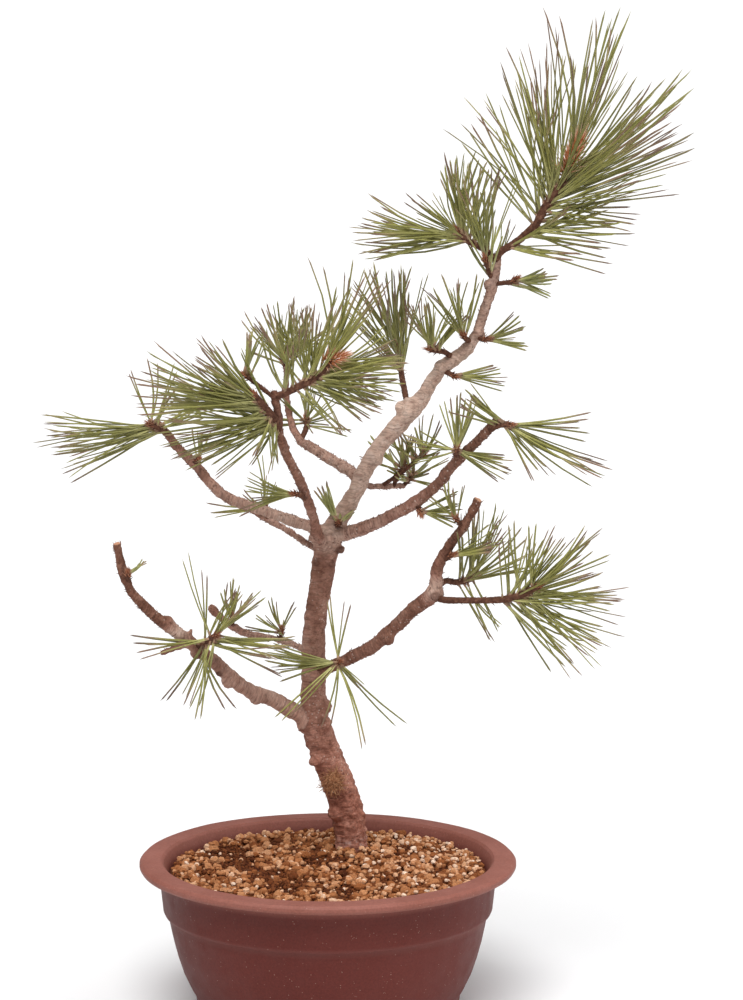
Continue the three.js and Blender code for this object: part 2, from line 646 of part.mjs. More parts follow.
// A three-sided spike, blunt end in the twig.
function needleSolid([base, tip]) {
  const heading = tip.clone().sub(base).normalize();
  const across = new THREE.Vector3().crossVectors(heading, UP);
  if (across.lengthSq() < 0.01) across.set(1, 0, 0);
  across.normalize();
  const corners = [0, 1, 2].map((corner) => base.clone().addScaledVector(
    across.clone().applyAxisAngle(heading, (corner * 2 * Math.PI) / 3), NEEDLE_RADIUS));
  return toSolid(closedGeometry([...corners, tip], [0, 2, 1, 0, 1, 3, 1, 2, 3, 2, 0, 3]));
}

function shootSolid(shoot, neighbours, balls, otherNeedles) {
  const twig = neighbours.reduce(
    (wood, neighbour) => wood.subtract(neighbour), limb(shoot.twig, TWIG_SIDES, TWIG_RING));
  const { curve } = limbLine(shoot.twig);
  const lines = [];
  for (const fan of shoot.fans) {
    const spikes = Math.max(1, Math.round(fan[0] / 2));
    for (let index = 0; index < spikes; index++) {
      for (const nudge of [0, 0.35, -0.35, 0.7, -0.7, 1.1, -1.1]) {
        const line = needleLine(curve, fan, (index + 0.5) / spikes, index * GOLDEN_ANGLE + nudge);
        if (isClear(line, shoot.name, balls, otherNeedles)) {
          lines.push(line);
          break;
        }
      }
    }
  }
  lines.forEach((line) => otherNeedles.push({ owner: shoot.name, line }));
  return biggestPart(joined([biggestPart(twig), ...lines.map(needleSolid)]));
}

// ---- The whole tree in its pot -------------------------------------------------------------------

const bonsai = new THREE.Group();

function addPiece(name, solid, look) {
  const mesh = new THREE.Mesh(toGeometry(solid), look());
  mesh.name = name;
  bonsai.add(mesh);
}

addPiece('pot', pot(), looks.clay);
DRAIN_HOLE_ANGLES.forEach((angle, index) =>
  addPiece(`drain_mesh_${index + 1}`, drainMesh(angle), looks.plasticMesh));
addPiece('soil', soil(), looks.soil);
addPiece('trunk', trunk(), looks.bark);
addPiece('moss_tuft', mossTuft(), looks.moss);

const cutters = [trunk(GAP)];
const balls = woodBalls('trunk', trunkRoute);
trunkStubs.forEach((route) => balls.push(...woodBalls('trunk', route)));
for (const branch of branches) {
  const wood = cutters.reduce((solid, cutter) => solid.subtract(cutter), branchSolid(branch));
  addPiece(branch.name, biggestPart(wood), looks.bark);
  cutters.push(branchSolid(branch, GAP));
  balls.push(...woodBalls(branch.name, branch.route));
  (branch.stubs ?? []).forEach((route) => balls.push(...woodBalls(branch.name, route)));
}
for (const shoot of shoots) balls.push(...woodBalls(shoot.name, shoot.twig));

const otherNeedles = [];
for (const shoot of shoots) {
  addPiece(shoot.name, shootSolid(shoot, cutters, balls, otherNeedles), looks.needles);
  cutters.push(limb(shoot.twig, TWIG_SIDES, TWIG_RING, GAP));
}

export default bonsai;
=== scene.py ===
"""A Japanese black pine kept as a bonsai, in a round unglazed clay pot.

Sizes in the tables are millimetres, because a grower thinks in them; mm() turns them into metres.
-Y is the front, +Z is up, and the origin is under the middle of the pot.
"""
import math
import random

import bpy
from mathutils import Matrix, Vector
from mathutils.bvhtree import BVHTree


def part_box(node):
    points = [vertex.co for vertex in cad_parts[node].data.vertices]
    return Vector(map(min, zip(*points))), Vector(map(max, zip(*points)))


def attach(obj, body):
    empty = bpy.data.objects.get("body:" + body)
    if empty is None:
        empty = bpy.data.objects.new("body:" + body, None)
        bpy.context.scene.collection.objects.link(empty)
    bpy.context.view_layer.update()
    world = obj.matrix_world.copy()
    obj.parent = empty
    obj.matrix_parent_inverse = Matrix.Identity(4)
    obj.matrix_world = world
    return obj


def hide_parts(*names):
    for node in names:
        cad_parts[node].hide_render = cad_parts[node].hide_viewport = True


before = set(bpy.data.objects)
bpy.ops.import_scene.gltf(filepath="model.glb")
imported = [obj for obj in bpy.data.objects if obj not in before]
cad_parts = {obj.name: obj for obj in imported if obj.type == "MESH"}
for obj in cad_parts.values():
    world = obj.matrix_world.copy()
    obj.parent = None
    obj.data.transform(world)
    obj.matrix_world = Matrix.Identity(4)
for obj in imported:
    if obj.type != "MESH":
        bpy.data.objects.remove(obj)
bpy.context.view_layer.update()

MM = 0.001
UP = Vector((0, 0, 1))
GOLDEN_ANGLE = math.radians(137.5)

# ---- The camera and the studio ----

CAMERA_TARGET = (28.9, 0, 341.5)
CAMERA_DISTANCE = 1968
CAMERA_PITCH = 7.7  # degrees below the horizon
CAMERA_LENS = 108.3
CAMERA_SENSOR = 36
CAMERA_REACH = 20  # metres
ROOM_LIGHT = 0.24
ROOM_SEEN = 1.1
FLOOR_RADIUS = 60  # metres
# Broad distant lights: name, direction from the light to the tree, softness in degrees, power.
SUNS = [
    ("key_light", (0.15, 0.8, -1.3), 38, 2.5),
    ("top_light", (-0.2, -0.1, -1), 90, 1.1),
    ("side_light", (-1, 0.15, -0.3), 50, 0.7),
]

# ---- The pot ----

POT_STEPS = 192
# Radius and height, from the middle of the underside, round the outside and down the inside.
POT_PROFILE = [
    (0, 0), (86, 0), (87, 1.2), (88.4, 11), (91.3, 16), (96.4, 27), (100, 38), (102.4, 47),
    (104.6, 57), (106.6, 67.2), (108.9, 67.6), (109.6, 69.2), (109.8, 71.5), (110.7, 80.2),
    (111.5, 89), (113.4, 94.2), (119, 96), (124, 96.6), (125, 98.2), (125, 100.2), (123.2, 102),
    (117, 102.3), (110.6, 102), (109, 100.4), (106, 94), (104, 86), (101.5, 62), (93.5, 38),
    (85, 19), (76, 11.5), (66, 10), (0, 10),
]
DRAIN_HOLE_RADIUS = 7
DRAIN_HOLE_RING = 48
DRAIN_HOLE_ANGLES = (90, 210, 330)
DRILL_LENGTH = 40
CHANNEL_WIDTH = 14
CHANNEL_DEPTH = 4
CHANNEL_LENGTH = 80  # from the middle of the hole to past the edge of the foot
POT_EDGE_ROUNDING = 0.9
POT_EDGE_ANGLE = 17  # edges sharper than this are rounded
POT_FOOT_TOP = 14  # above this the wall is a little uneven, as hand-turned clay is
POT_WOBBLE = 0.7
POT_WOBBLE_SIZE = 60

# ---- The soil ----

SOIL_RADIUS = 105
SOIL_EDGE_HEIGHT = 92.5
SOIL_RISE = 2.5  # the middle stands this much above the edge
WALL_GAP = 2.4  # between the pot's wall and the middle of the nearest grain
TRUNK_FOOT = (15, 50)
TRUNK_FOOT_RADIUS = 11.5
ROW_STEP = 0.87  # rows of grains against the spacing in a row
GRAIN_JITTER = 0.4
# The shapes of grain that are copied: the size of each across, deep and high.
GRAIN_SHAPES = {
    "grain_round": (1, 0.92, 0.84), "grain_long": (1.25, 0.8, 0.75),
    "grain_flat": (1.1, 1, 0.6), "grain_block": (0.95, 1.05, 0.95),
    "grain_chip": (1.35, 0.7, 0.55), "grain_wedge": (1.1, 0.85, 1.0),
}
GRAIN_ROUNDING = 0.24
GRAIN_UNEVENNESS = 0.13
LOWER_SPACING = 3.8
UPPER_SPACING = 3.9
BIG_SPACING = 14
FINE_SPACING = 2.3
# Places where dark fine soil shows between the grains: x, y, radius.
DARK_PATCHES = [
    (-66, 36, 25), (-60, 4, 25), (-24, -52, 22), (12, -66, 18), (-40, -24, 20), (-34, 62, 17),
    (0, 10, 24), (42, -38, 15), (50, 44, 13), (-12, 34, 14), (74, -10, 10),
]

# ---- The wood ----

# Where each limb starts, for bark that wrinkles across it.
LIMB_STARTS = {
    "trunk": (40, 44, -400), "branch_lower_left": (-10, 41, 185),
    "branch_lower_back": (-10, 38, 233), "branch_lower_right": (-10, 40, 217),
    "branch_front": (-1, 26, 311), "branch_long_left": (-2, 33, 315),
    "branch_thin_left": (-1, 32, 306), "branch_right": (2, 30, 312),
    "branch_upper_back": (21, 26, 351), "branch_thin_right": (21, 27, 350),
}
WOOD_NODES = list(LIMB_STARTS)
# How brown the bark is: 0 for pale and scaly, 1 for brown. On the trunk it goes by height.
LIMB_BROWN = {
    "branch_lower_left": 0.3, "branch_lower_back": 0.6, "branch_lower_right": 1.1,
    "branch_front": 1.05, "branch_long_left": 0.5, "branch_thin_left": 0.8, "branch_right": 0.8,
    "branch_upper_back": 0.6, "branch_thin_right": 0.8,
}
DARKEST_BROWN = 1.4  # at the far ends of the branches
BROWNING_LENGTH = 110  # over which a branch turns to the darkest brown
BROWNING_DELAY = 0.35  # share of that length before it begins to
# Height on the trunk, and how brown it is there.
TRUNK_BROWN = [
    (100, 0.9), (220, 0.85), (285, 1.1), (312, 0.85), (335, 0.3), (430, 0.2), (460, 0.6),
    (510, 0.7),
]
ACROSS_STRETCH = 0.55  # bark coordinates across a limb, against along it
SKIN_VOXEL = 0.96
SKIN_SWELL = 0.4  # closes the joint between branch and trunk before they grow together
# Collars and old scars where the bark is paler: centre, size.
PALE_COLLARS = [
    ((71, -14, 285), 15), ((-98, -18, 256), 15), ((2, 22, 314), 15), ((48, 18, 401), 12),
]
COLLAR_PALENESS = 0.8
OLD_BARK_TOP = 205  # rough plates below this height
BRISTLES = 2400
BRISTLE_LENGTH = 2.6
BRISTLE_WIDTH = 0.75
SMOOTH_TRUNK_TOP = 440  # no bristles below this on the trunk
SMOOTH_BRANCH_END = -95  # nor to the right of this on the lower left branch
# Swellings and branch collars: centre, radius.
SWELLINGS = [
    ((-15, 39, 184), 7), ((-3, 35, 185), 6), ((-9, 31, 213), 4.5), ((-9, 35, 160), 5),
    ((5, 42, 122), 6), ((20, 46, 119), 5), ((-3, 37, 196), 6), ((0, 30, 312), 9.8),
    ((4, 22, 313), 5.4), ((10, 25, 317), 5), ((-8, 30, 317), 5), ((49, 19.5, 400), 5),
    ((24, 24, 356), 6), ((70, -10, 282), 6.4), ((-66, 8, 219), 5), ((-104, -20, 264), 5),
    ((105, 9, 482), 4), ((99, 11, 449), 4.4), ((-48, 20, 206), 5.2),
    ((40, 6, 248), 4.6), ((-86, -6, 241), 5), ((74, 14, 427), 5.4), ((32, 21, 366), 5.6),
]
# Dark round knots where twigs were cut away.
KNOTS = [
    ((-8, 25.5, 296), 2.2), ((3, 23, 295), 2.4), ((70.5, -16.5, 280), 3), ((111, 7, 501), 3),
    ((-14, 30, 230), 2.4), ((-72, 2, 226), 2.6), ((-4.5, 32, 187), 2.6), ((8, 25.5, 304), 2.6),
]
# Pruned ends: the middle of the cut and the way it faces.
CUT_ENDS = [
    ((-135, -34, 318), (-0.15, -0.05, 1)), ((98, -24, 345), (0.45, -0.1, 0.9)),
    ((-83, 110, 252), (-0.7, 0.6, 0.6)), ((-109, -14, 242), (-0.9, 0, -0.3)),
]
CUT_RADIUS = 4.6
CUT_FACING = 0.55  # how well the wood has to face the way of the cut

# ---- The needled shoots ----
# twig: points along the middle, with the radius there.
# fans: groups of needles that leave together. Each says how many pairs, the shares of the twig that
# they start and end at, their length, half the angle that the fan opens to, and the way it points.

SHOOTS = [
    dict(name="shoot_top", bud_length=32, bud_lean=(0, -0.25, 0),
         twig=[(110, 8, 496, 2.4), (112, 6, 503, 2.4), (122, 4, 509, 2.4), (135, 0, 521, 2.6),
               (141, -4, 533, 2.8), (147, -6, 541, 2.8), (152, -9, 550, 2.4), (160, -12, 571, 1.6)],
         fans=[(22, 0.2, 0.6, 68, 26, (1, -0.1, 0.1)), (28, 0.5, 0.92, 98, 21, (0.88, -0.1, 0.6)),
               (28, 0.6, 0.98, 102, 27, (0.22, 0, 1)), (20, 0.4, 0.8, 88, 20, (-0.28, 0.1, 1))]),
    dict(name="shoot_top_left",
         twig=[(110, 8, 497, 2), (103, 9, 504, 2.2), (90, 13, 511, 2.2), (85, 15, 517, 1.8)],
         fans=[(20, 0.6, 0.98, 69, 14, (-1, 0, 0.03)), (26, 0.2, 0.95, 59, 27, (-0.02, 0, 1)),
               (8, 0.6, 0.98, 40, 24, (-0.8, 0, 0.6))]),
    dict(name="young_shoot_left", young=True,
         twig=[(108, 10, 484, 1.6), (104, 4, 494, 1.6), (102, 1, 500, 1.2)],
         fans=[(14, 0.05, 0.7, 38, 32, (-0.05, 0, 1))]),
    dict(name="young_shoot_right", young=True,
         twig=[(108, 10, 482, 1.6), (120, 3, 484, 1.6), (123, 1, 486, 1.2)],
         fans=[(13, 0.3, 0.95, 28, 32, (1, 0, 0.05))]),
    dict(name="tuft_leader_left",
         twig=[(94, 14, 444, 1.8), (90, 6, 447, 1.7), (88, 3, 450, 1.4)],
         fans=[(10, 0.5, 0.98, 42, 30, (-0.25, 0, 1))]),
    dict(name="tuft_leader_right",
         twig=[(97, 13, 448, 1.6), (102, 5, 446, 1.6), (105, 3, 447, 1.3)],
         fans=[(8, 0.6, 0.98, 28, 26, (1, 0, 0.35))]),
    dict(name="tuft_leader_low_right",
         twig=[(74, 17, 426, 1.8), (81, 9, 423, 1.7), (84, 6, 422, 1.3)],
         fans=[(8, 0.6, 0.98, 34, 18, (1, 0, 0.03))]),
    dict(name="tuft_leader_low_left",
         twig=[(83, 16, 433, 1.8), (76, 9, 438, 1.8), (70, 6, 439, 1.8), (66, 5, 440, 1.4)],
         fans=[(15, 0.5, 0.98, 36, 44, (-0.05, 0, 1))]),
    dict(name="shoot_back",
         twig=[(53, 21, 400, 2), (49, 46, 419, 2), (47, 66, 440, 1.7)],
         fans=[(34, 0.5, 0.98, 63, 33, (-0.3, 0, 1))]),
    dict(name="shoot_lower_left",
         twig=[(-86, -7, 246, 2.2), (-82, -14, 248, 2.2), (-71, -26, 257, 1.8)],
         fans=[(9, 0.7, 0.98, 43, 16, (0.65, 0, 0.9)), (2, 0.5, 0.9, 55, 18, (-0.12, 0, 1)),
               (3, 0.5, 0.9, 50, 17, (-1, 0, 0.05)), (6, 0.5, 0.95, 53, 24, (-0.25, 0, -1)),
               (8, 0.6, 0.98, 54, 16, (1, 0, -0.15))]),
    dict(name="bud_lower_left", young=True,
         twig=[(-128, -31, 290, 1.5), (-128, -38, 300, 1.4)],
         fans=[(3, 0.8, 0.98, 14, 20, (0.9, 0, 0.5))]),
    dict(name="bud_lower_back",
         twig=[(-33, 64, 237, 1.5), (-32, 60, 245, 1.3)],
         fans=[(9, 0.6, 0.98, 25, 75, (-0.1, 0, 0.6))]),
    dict(name="bud_lower_back_end",
         twig=[(-67, 95, 240, 1.5), (-67, 91, 249, 1.3)],
         fans=[(8, 0.6, 0.98, 25, 50, (0.1, 0, 1))]),
    dict(name="shoot_lower_right_short",
         twig=[(72, -10, 285, 2), (77, -6, 289, 2), (84, 0, 287, 2), (92, 8, 287, 2.1),
               (99, 14, 289, 1.8)],
         fans=[(12, 0.55, 0.98, 51, 25, (0.3, 0, 1)), (7, 0.6, 0.98, 48, 18, (0.85, 0, 0.4)),
               (4, 0.5, 0.9, 46, 9, (0.45, 0, -0.9))]),
    dict(name="shoot_lower_right_long",
         twig=[(71, -12, 279, 2.4), (77, -17, 278, 2.2), (90, -24, 279, 2.1), (103, -30, 280, 2.1),
               (117, -36, 282, 2.4), (127, -40, 286, 2.4), (137, -44, 292, 1.9)],
         fans=[(12, 0.6, 0.95, 47, 25, (0.15, 0, 1)), (12, 0.7, 0.98, 56, 17, (0.8, 0, 0.6)),
               (12, 0.65, 0.98, 65, 17, (1, 0, -0.12)), (12, 0.6, 0.9, 69, 15, (0.65, 0, -0.6))]),
    dict(name="bud_lower_right",
         twig=[(76, -16, 304, 1.6), (82, -22, 309, 1.5)],
         fans=[(8, 0.7, 0.98, 33, 22, (0.9, 0, 0.35))]),
    dict(name="bud_lower_right_end",
         twig=[(88, -21, 326, 1.6), (83, -27, 334, 1.4)],
         fans=[(6, 0.7, 0.98, 24, 28, (-0.3, 0, 1))]),
    dict(name="shoot_trunk_front",
         twig=[(-9, 37, 222, 2.2), (0, 20, 228, 2.2), (8, 6, 233, 2)],
         fans=[(2, 0.85, 0.98, 43, 12, (0, 0, 1)), (2, 0.85, 0.98, 68, 6, (0.6, 0, -0.85)),
               (2, 0.85, 0.98, 26, 14, (0.7, 0, -0.7)), (1, 0.9, 0.98, 48, 4, (0, 0, -1)),
               (2, 0.85, 0.98, 56, 12, (-0.65, 0, -0.8)), (8, 0.7, 0.98, 47, 13, (-1, 0, 0.08))]),
    dict(name="shoot_front_side",
         twig=[(-14, -8, 343, 1.8), (-17, -18, 347, 1.8), (-22, -24, 349, 1.5)],
         fans=[(8, 0.6, 0.98, 38, 26, (-1, 0, 0.1))]),
    dict(name="shoot_front_left",
         twig=[(-30, -33, 391, 2.2), (-33, -42, 400, 2.2), (-40, -48, 409, 2.2),
               (-46, -52, 417, 1.8)],
         fans=[(40, 0.05, 0.98, 80, 21, (-1, 0, 0.14)), (16, 0.2, 0.98, 56, 22, (-0.75, 0, 0.65)),
               (9, 0.05, 0.6, 64, 14, (-0.9, 0, -0.35)), (7, 0.05, 0.5, 34, 32, (-0.2, 0, -1))]),
    dict(name="shoot_front_right", bud_length=22, bud_lean=(0.3, -0.8, -0.3), bud_sunk=0.3,
         twig=[(-33, -43, 414, 2.2), (-26, -46, 416, 2.4), (-15, -48, 422, 2.4),
               (-8, -49, 425, 2.4), (-2, -50, 431, 2.2), (4, -52, 438, 1.5)],
         fans=[(24, 0.45, 0.98, 56, 22, (1, 0, 0.15)), (20, 0.4, 0.98, 67, 18, (0.42, 0, 1)),
               (16, 0.15, 0.7, 48, 30, (-0.2, 0, 1)), (15, 0.3, 0.95, 48, 22, (0.8, 0, -0.5))]),
    dict(name="bud_front_young", young=True,
         twig=[(-33, -43, 413, 1.4), (-43, -36, 420, 1.4), (-53, -32, 427, 1.2)],
         fans=[(6, 0.8, 0.98, 30, 16, (0.2, 0, 1))]),
    dict(name="shoot_left_end",
         twig=[(-106, 46, 378, 2), (-112, 41, 384, 2.2), (-119, 37, 388, 1.9)],
         fans=[(12, 0.35, 0.98, 80, 12, (-1, 0, -0.08)), (7, 0.3, 0.7, 72, 12, (-0.95, 0, -0.3)),
               (5, 0.5, 0.98, 48, 26, (0.4, 0, 1)), (1, 0.8, 0.98, 40, 4, (-0.45, 0, 0.9)),
               (4, 0.35, 0.7, 34, 22, (0.8, 0, 0.3))]),
    dict(name="bud_left_middle", young=True,
         twig=[(-90, 46, 360, 1.5), (-86, 37, 364, 1.3)],
         fans=[(4, 0.7, 0.98, 22, 24, (0.3, 0, 1))]),
    dict(name="bud_thin_left",
         twig=[(-41, 62, 319, 1.5), (-43, 60, 331, 1.4)],
         fans=[(2, 0.7, 0.98, 40, 6, (-1, 0, -0.1)), (2, 0.7, 0.98, 21, 10, (-0.9, 0, 0.3)),
               (1, 0.8, 0.98, 40, 4, (0, 0, 1)), (4, 0.7, 0.98, 22, 34, (0.2, 0, 1))]),
    dict(name="shoot_right_end",
         twig=[(103, -31, 390, 2), (110, -38, 395, 2.2), (118, -42, 396, 1.8)],
         fans=[(4, 0.75, 0.98, 57, 8, (1, 0, 0.05)), (5, 0.7, 0.98, 74, 11, (0.88, 0, -0.45)),
               (3, 0.6, 0.95, 44, 12, (0.6, 0, -0.8)), (7, 0.4, 0.9, 33, 20, (-0.75, 0, 0.6))]),
    dict(name="shoot_right_middle",
         twig=[(84, -22, 370, 1.8), (83, -32, 376, 1.8), (84, -35, 380, 1.5)],
         fans=[(8, 0.7, 0.98, 38, 28, (0.1, 0, 1)), (6, 0.6, 0.95, 38, 17, (0.95, 0, -0.35)),
               (5, 0.6, 0.95, 34, 28, (-0.9, 0, 0.15))]),
    dict(name="bud_right_under",
         twig=[(58, -6, 341, 1.6), (61, -12, 334, 1.4)],
         fans=[(7, 0.7, 0.98, 28, 24, (1, 0, 0.15))]),
    dict(name="shoot_upper_back_low",
         twig=[(-19, 75, 372, 2), (-15, 84, 381, 1.8), (-16, 88, 386, 1.5)],
         fans=[(13, 0.5, 0.98, 36, 75, (0.1, 0, 0.3)), (3, 0.6, 0.95, 50, 5, (-1, 0, 0.05))]),
    dict(name="shoot_upper_back_left",
         twig=[(-29, 93, 416, 1.5), (-32, 96, 428, 1.4)],
         fans=[(18, 0.5, 0.98, 42, 48, (-0.2, 0, 1))]),
    dict(name="shoot_upper_back_right",
         twig=[(-29, 94, 417, 1.3), (-22, 98, 431, 1.2)],
         fans=[(16, 0.5, 0.98, 38, 46, (0.3, 0, 1))]),
    dict(name="tuft_thin_right_end",
         twig=[(50, 51, 344, 1.6), (57, 54, 351, 1.4)],
         fans=[(12, 0.5, 0.98, 30, 75, (0.2, 0, 0.6))]),
    dict(name="tuft_thin_right_middle",
         twig=[(43, 46, 344, 1.4), (47, 44, 352, 1.4), (51, 46, 360, 1.2)],
         fans=[(11, 0.6, 0.98, 31, 60, (-0.2, 0, 0.8))]),
    dict(name="tuft_thin_right_top",
         twig=[(35, 41, 345, 1.4), (50, 36, 356, 1.4), (65, 34, 369, 1.2)],
         fans=[(10, 0.75, 0.98, 28, 60, (0, 0, 1))]),
    dict(name="tuft_fork", young=True,
         twig=[(5, 29, 320, 1.8), (7, 18, 323, 1.8), (7, 12, 325, 1.4)],
         fans=[(4, 0.7, 0.98, 29, 18, (-0.35, 0, 1)), (6, 0.55, 0.98, 17, 60, (0.1, 0, 0.8))]),
]

NEEDLE_RADIUS = 0.7
NEEDLE_FLATNESS = 0.75
# How far along each ring of the needle is, and how wide there.
NEEDLE_RINGS = [(0.2, 1), (0.42, 1), (0.66, 0.95), (0.94, 0.8), (1, 0)]
NEEDLE_SAG = 0.1
NEEDLE_STRAY = 0.1
# The needle pairs that are copied: the bend, splay and twist of each, at each length.
PAIR_SHAPES = (
    (0.05, 0.05, 0.2), (0.12, 0.035, 0.5), (0.2, 0.06, 0.1), (-0.04, 0.07, 0.9), (0.3, 0.04, 0.3),
)
TEMPLATE_LENGTHS = (22, 46, 86)
SHEATH_LENGTH = 4
FAN_DEPTH = 1.7  # how much deeper a fan is than wide
FAN_JITTER = 3  # degrees
BUD_LENGTH = 6
BUD_SUNK = 0.65  # share of the bud that sits below the twig's end

# ---- The moss ----

MOSS_SIZE = (5.2, 2.6, 6.6)  # half its width, depth and height
FIBRE_FEET = (4.6, 2.0, 5.6)  # the fibres leave from just inside the cushion
FIBRES = 170
FIBRE_LENGTH = 8
FIBRE_BEND = 55  # degrees


# ---- Small helpers ----

def mm(values):
    return Vector(values) * MM


def clamp(value):
    return min(1, max(0, value))


def only(piece):
    """Selects this one piece, in object mode."""
    bpy.ops.object.select_all(action="DESELECT")
    piece.select_set(True)
    bpy.context.view_layer.objects.active = piece


def new_piece(name):
    """The primitive that was just added, named."""
    piece = bpy.context.object
    piece.name = name
    piece.data.name = name
    return piece


def settle(piece):
    """Moves the piece's place into its mesh."""
    only(piece)
    bpy.ops.object.transform_apply(location=True, rotation=True, scale=True)


def primitive(name, add, **settings):
    """Adds a primitive with nothing else selected, names it and settles its place."""
    bpy.ops.object.select_all(action="DESELECT")
    add(**settings)
    piece = new_piece(name)
    settle(piece)
    return piece


def edit(piece):
    only(piece)
    bpy.ops.object.mode_set(mode="EDIT")
    bpy.ops.mesh.select_all(action="SELECT")


def leave_edit():
    bpy.ops.object.mode_set(mode="OBJECT")


def pick_vertices(piece, test):
    """In edit mode, selects only the vertices that pass the test."""
    bpy.ops.mesh.select_mode(type="VERT")
    bpy.ops.mesh.select_all(action="DESELECT")
    leave_edit()
    for vertex in piece.data.vertices:
        vertex.select = test(vertex)
    bpy.ops.object.mode_set(mode="EDIT")


def modify(piece, kind, **settings):
    """Adds one modifier and applies it."""
    modifier = piece.modifiers.new(kind.lower(), kind)
    for setting, value in settings.items():
        setattr(modifier, setting, value)
    only(piece)
    bpy.ops.object.modifier_apply(modifier=modifier.name)


def roughen(piece, name, lump, height, detail=2, kind="CLOUDS", middle=0.5, group="", grain=False):
    """Pushes the surface in and out by lumps of a size, all over or along the bark's grain."""
    texture = bpy.data.textures.new(name, kind)
    texture.noise_scale = lump * MM
    if kind == "CLOUDS":
        texture.noise_depth = detail
    settings = {"texture_coords": "UV", "uv_layer": "grain"} if grain else {"texture_coords": "LOCAL"}
    modify(piece, "DISPLACE", texture=texture, strength=height * MM, mid_level=middle,
           vertex_group=group, **settings)


def smooth(piece, angle=None):
    only(piece)
    if angle is None:
        bpy.ops.object.shade_smooth()
    else:
        bpy.ops.object.shade_smooth_by_angle(angle=math.radians(angle))


def join(pieces, name):
    bpy.ops.object.select_all(action="DESELECT")
    for piece in pieces:
        piece.select_set(True)
    bpy.context.view_layer.objects.active = pieces[0]
    bpy.ops.object.join()
    piece = new_piece(name)
    settle(piece)
    return piece


def copy_of(piece, place):
    """A copy with its own mesh, at a place given as a matrix."""
    twin = piece.copy()
    twin.data = piece.data.copy()
    twin.matrix_world = place
    bpy.context.collection.objects.link(twin)
    return twin


def remove(pieces):
    bpy.ops.object.select_all(action="DESELECT")
    for piece in pieces:
        piece.select_set(True)
    bpy.ops.object.delete()


def set_number(piece, name, values):
    """Stores one number for each vertex under a name that a material can read."""
    mesh = piece.data
    store = mesh.attributes.get(name) or mesh.attributes.new(name, "FLOAT", "POINT")
    count = len(mesh.vertices)
    store.data.foreach_set("value", values if isinstance(values, list) else [values] * count)


def dress(piece, material):
    piece.data.materials.clear()
    piece.data.materials.append(material)


def finish_piece(piece, material, nodes=()):
    dress(piece, material)
    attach(piece, "root")
    if nodes:
        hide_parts(*nodes)


def grow_line(points):
    """One vertex extruded from point to point, as a mesh of edges. Leaves edit mode on."""
    line = primitive("line", bpy.ops.mesh.primitive_plane_add, size=MM, location=(0, 0, 0))
    edit(line)
    bpy.ops.mesh.merge(type="CENTER")
    bpy.ops.transform.translate(value=points[0])
    for before, after in zip(points, points[1:]):
        bpy.ops.mesh.extrude_region_move(TRANSFORM_OT_translate={"value": after - before})
    return line


# ---- Materials ----

class Look:
    """A material under construction: short calls that add and join its nodes."""

    def __init__(self, name, roughness, specular=0.4):
        self.material = bpy.data.materials.new(name)
        self.material.use_nodes = True
        self.tree = self.material.node_tree
        self.shader = self.tree.nodes["Principled BSDF"]
        self.shader.inputs["Roughness"].default_value = roughness
        self.shader.inputs["Specular IOR Level"].default_value = specular

    def node(self, kind, settings=None, **inputs):
        node = self.tree.nodes.new(kind)
        for name, value in (settings or {}).items():
            setattr(node, name, value)
        for name, value in inputs.items():
            self.feed(node.inputs[name.replace("_", " ")], value)
        return node

    def feed(self, socket, value):
        if isinstance(value, bpy.types.NodeSocket):
            self.tree.links.new(value, socket)
        else:
            socket.default_value = (*value, 1) if socket.type == "RGBA" else value

    def place(self):
        return self.node("ShaderNodeTexCoord").outputs["Object"]

    def number(self, name):
        return self.node("ShaderNodeAttribute", {"attribute_name": name}).outputs["Fac"]

    def noise(self, scale, detail=4, roughness=0.55, vector=None):
        return self.node("ShaderNodeTexNoise", Vector=vector or self.place(), Scale=scale,
                         Detail=detail, Roughness=roughness).outputs["Fac"]

    def cells(self, scale, feature="F1", vector=None):
        return self.node("ShaderNodeTexVoronoi", {"feature": feature},
                         Vector=vector or self.place(), Scale=scale).outputs["Distance"]

    def ramp(self, factor, stops):
        node = self.node("ShaderNodeValToRGB", Fac=factor)
        elements = node.color_ramp.elements
        while len(elements) < len(stops):
            elements.new(0.5)
        for element, (position, colour) in zip(elements, stops):
            element.position = position
            element.color = (*colour, 1)
        return node.outputs["Color"]

    def grey_ramp(self, factor, *stops):
        return self.ramp(factor, [(position, (value, value, value)) for position, value in stops])

    def mix(self, factor, first, second, blend="MIX"):
        node = self.node("ShaderNodeMix", {"data_type": "RGBA", "blend_type": blend})
        for index, value in ((0, factor), (6, first), (7, second)):
            self.feed(node.inputs[index], value)
        return node.outputs[2]

    def darken(self, amount, colour, shade):
        return self.mix(amount, colour, shade, "MULTIPLY")

    def maths(self, operation, first, second=0.0):
        node = self.node("ShaderNodeMath", {"operation": operation})
        self.feed(node.inputs[0], first)
        self.feed(node.inputs[1], second)
        return node.outputs[0]

    def height(self):
        return self.node("ShaderNodeSeparateXYZ", Vector=self.place()).outputs["Z"]

    def colour(self, value):
        self.feed(self.shader.inputs["Base Color"], value)

    def roughness(self, value):
        self.feed(self.shader.inputs["Roughness"], value)

    def bump(self, height, strength, distance):
        node = self.node("ShaderNodeBump", Height=height, Strength=strength, Distance=distance * MM)
        previous = self.shader.inputs["Normal"].links
        if previous:
            self.feed(node.inputs["Normal"], previous[0].from_socket)
        self.feed(self.shader.inputs["Normal"], node.outputs["Normal"])


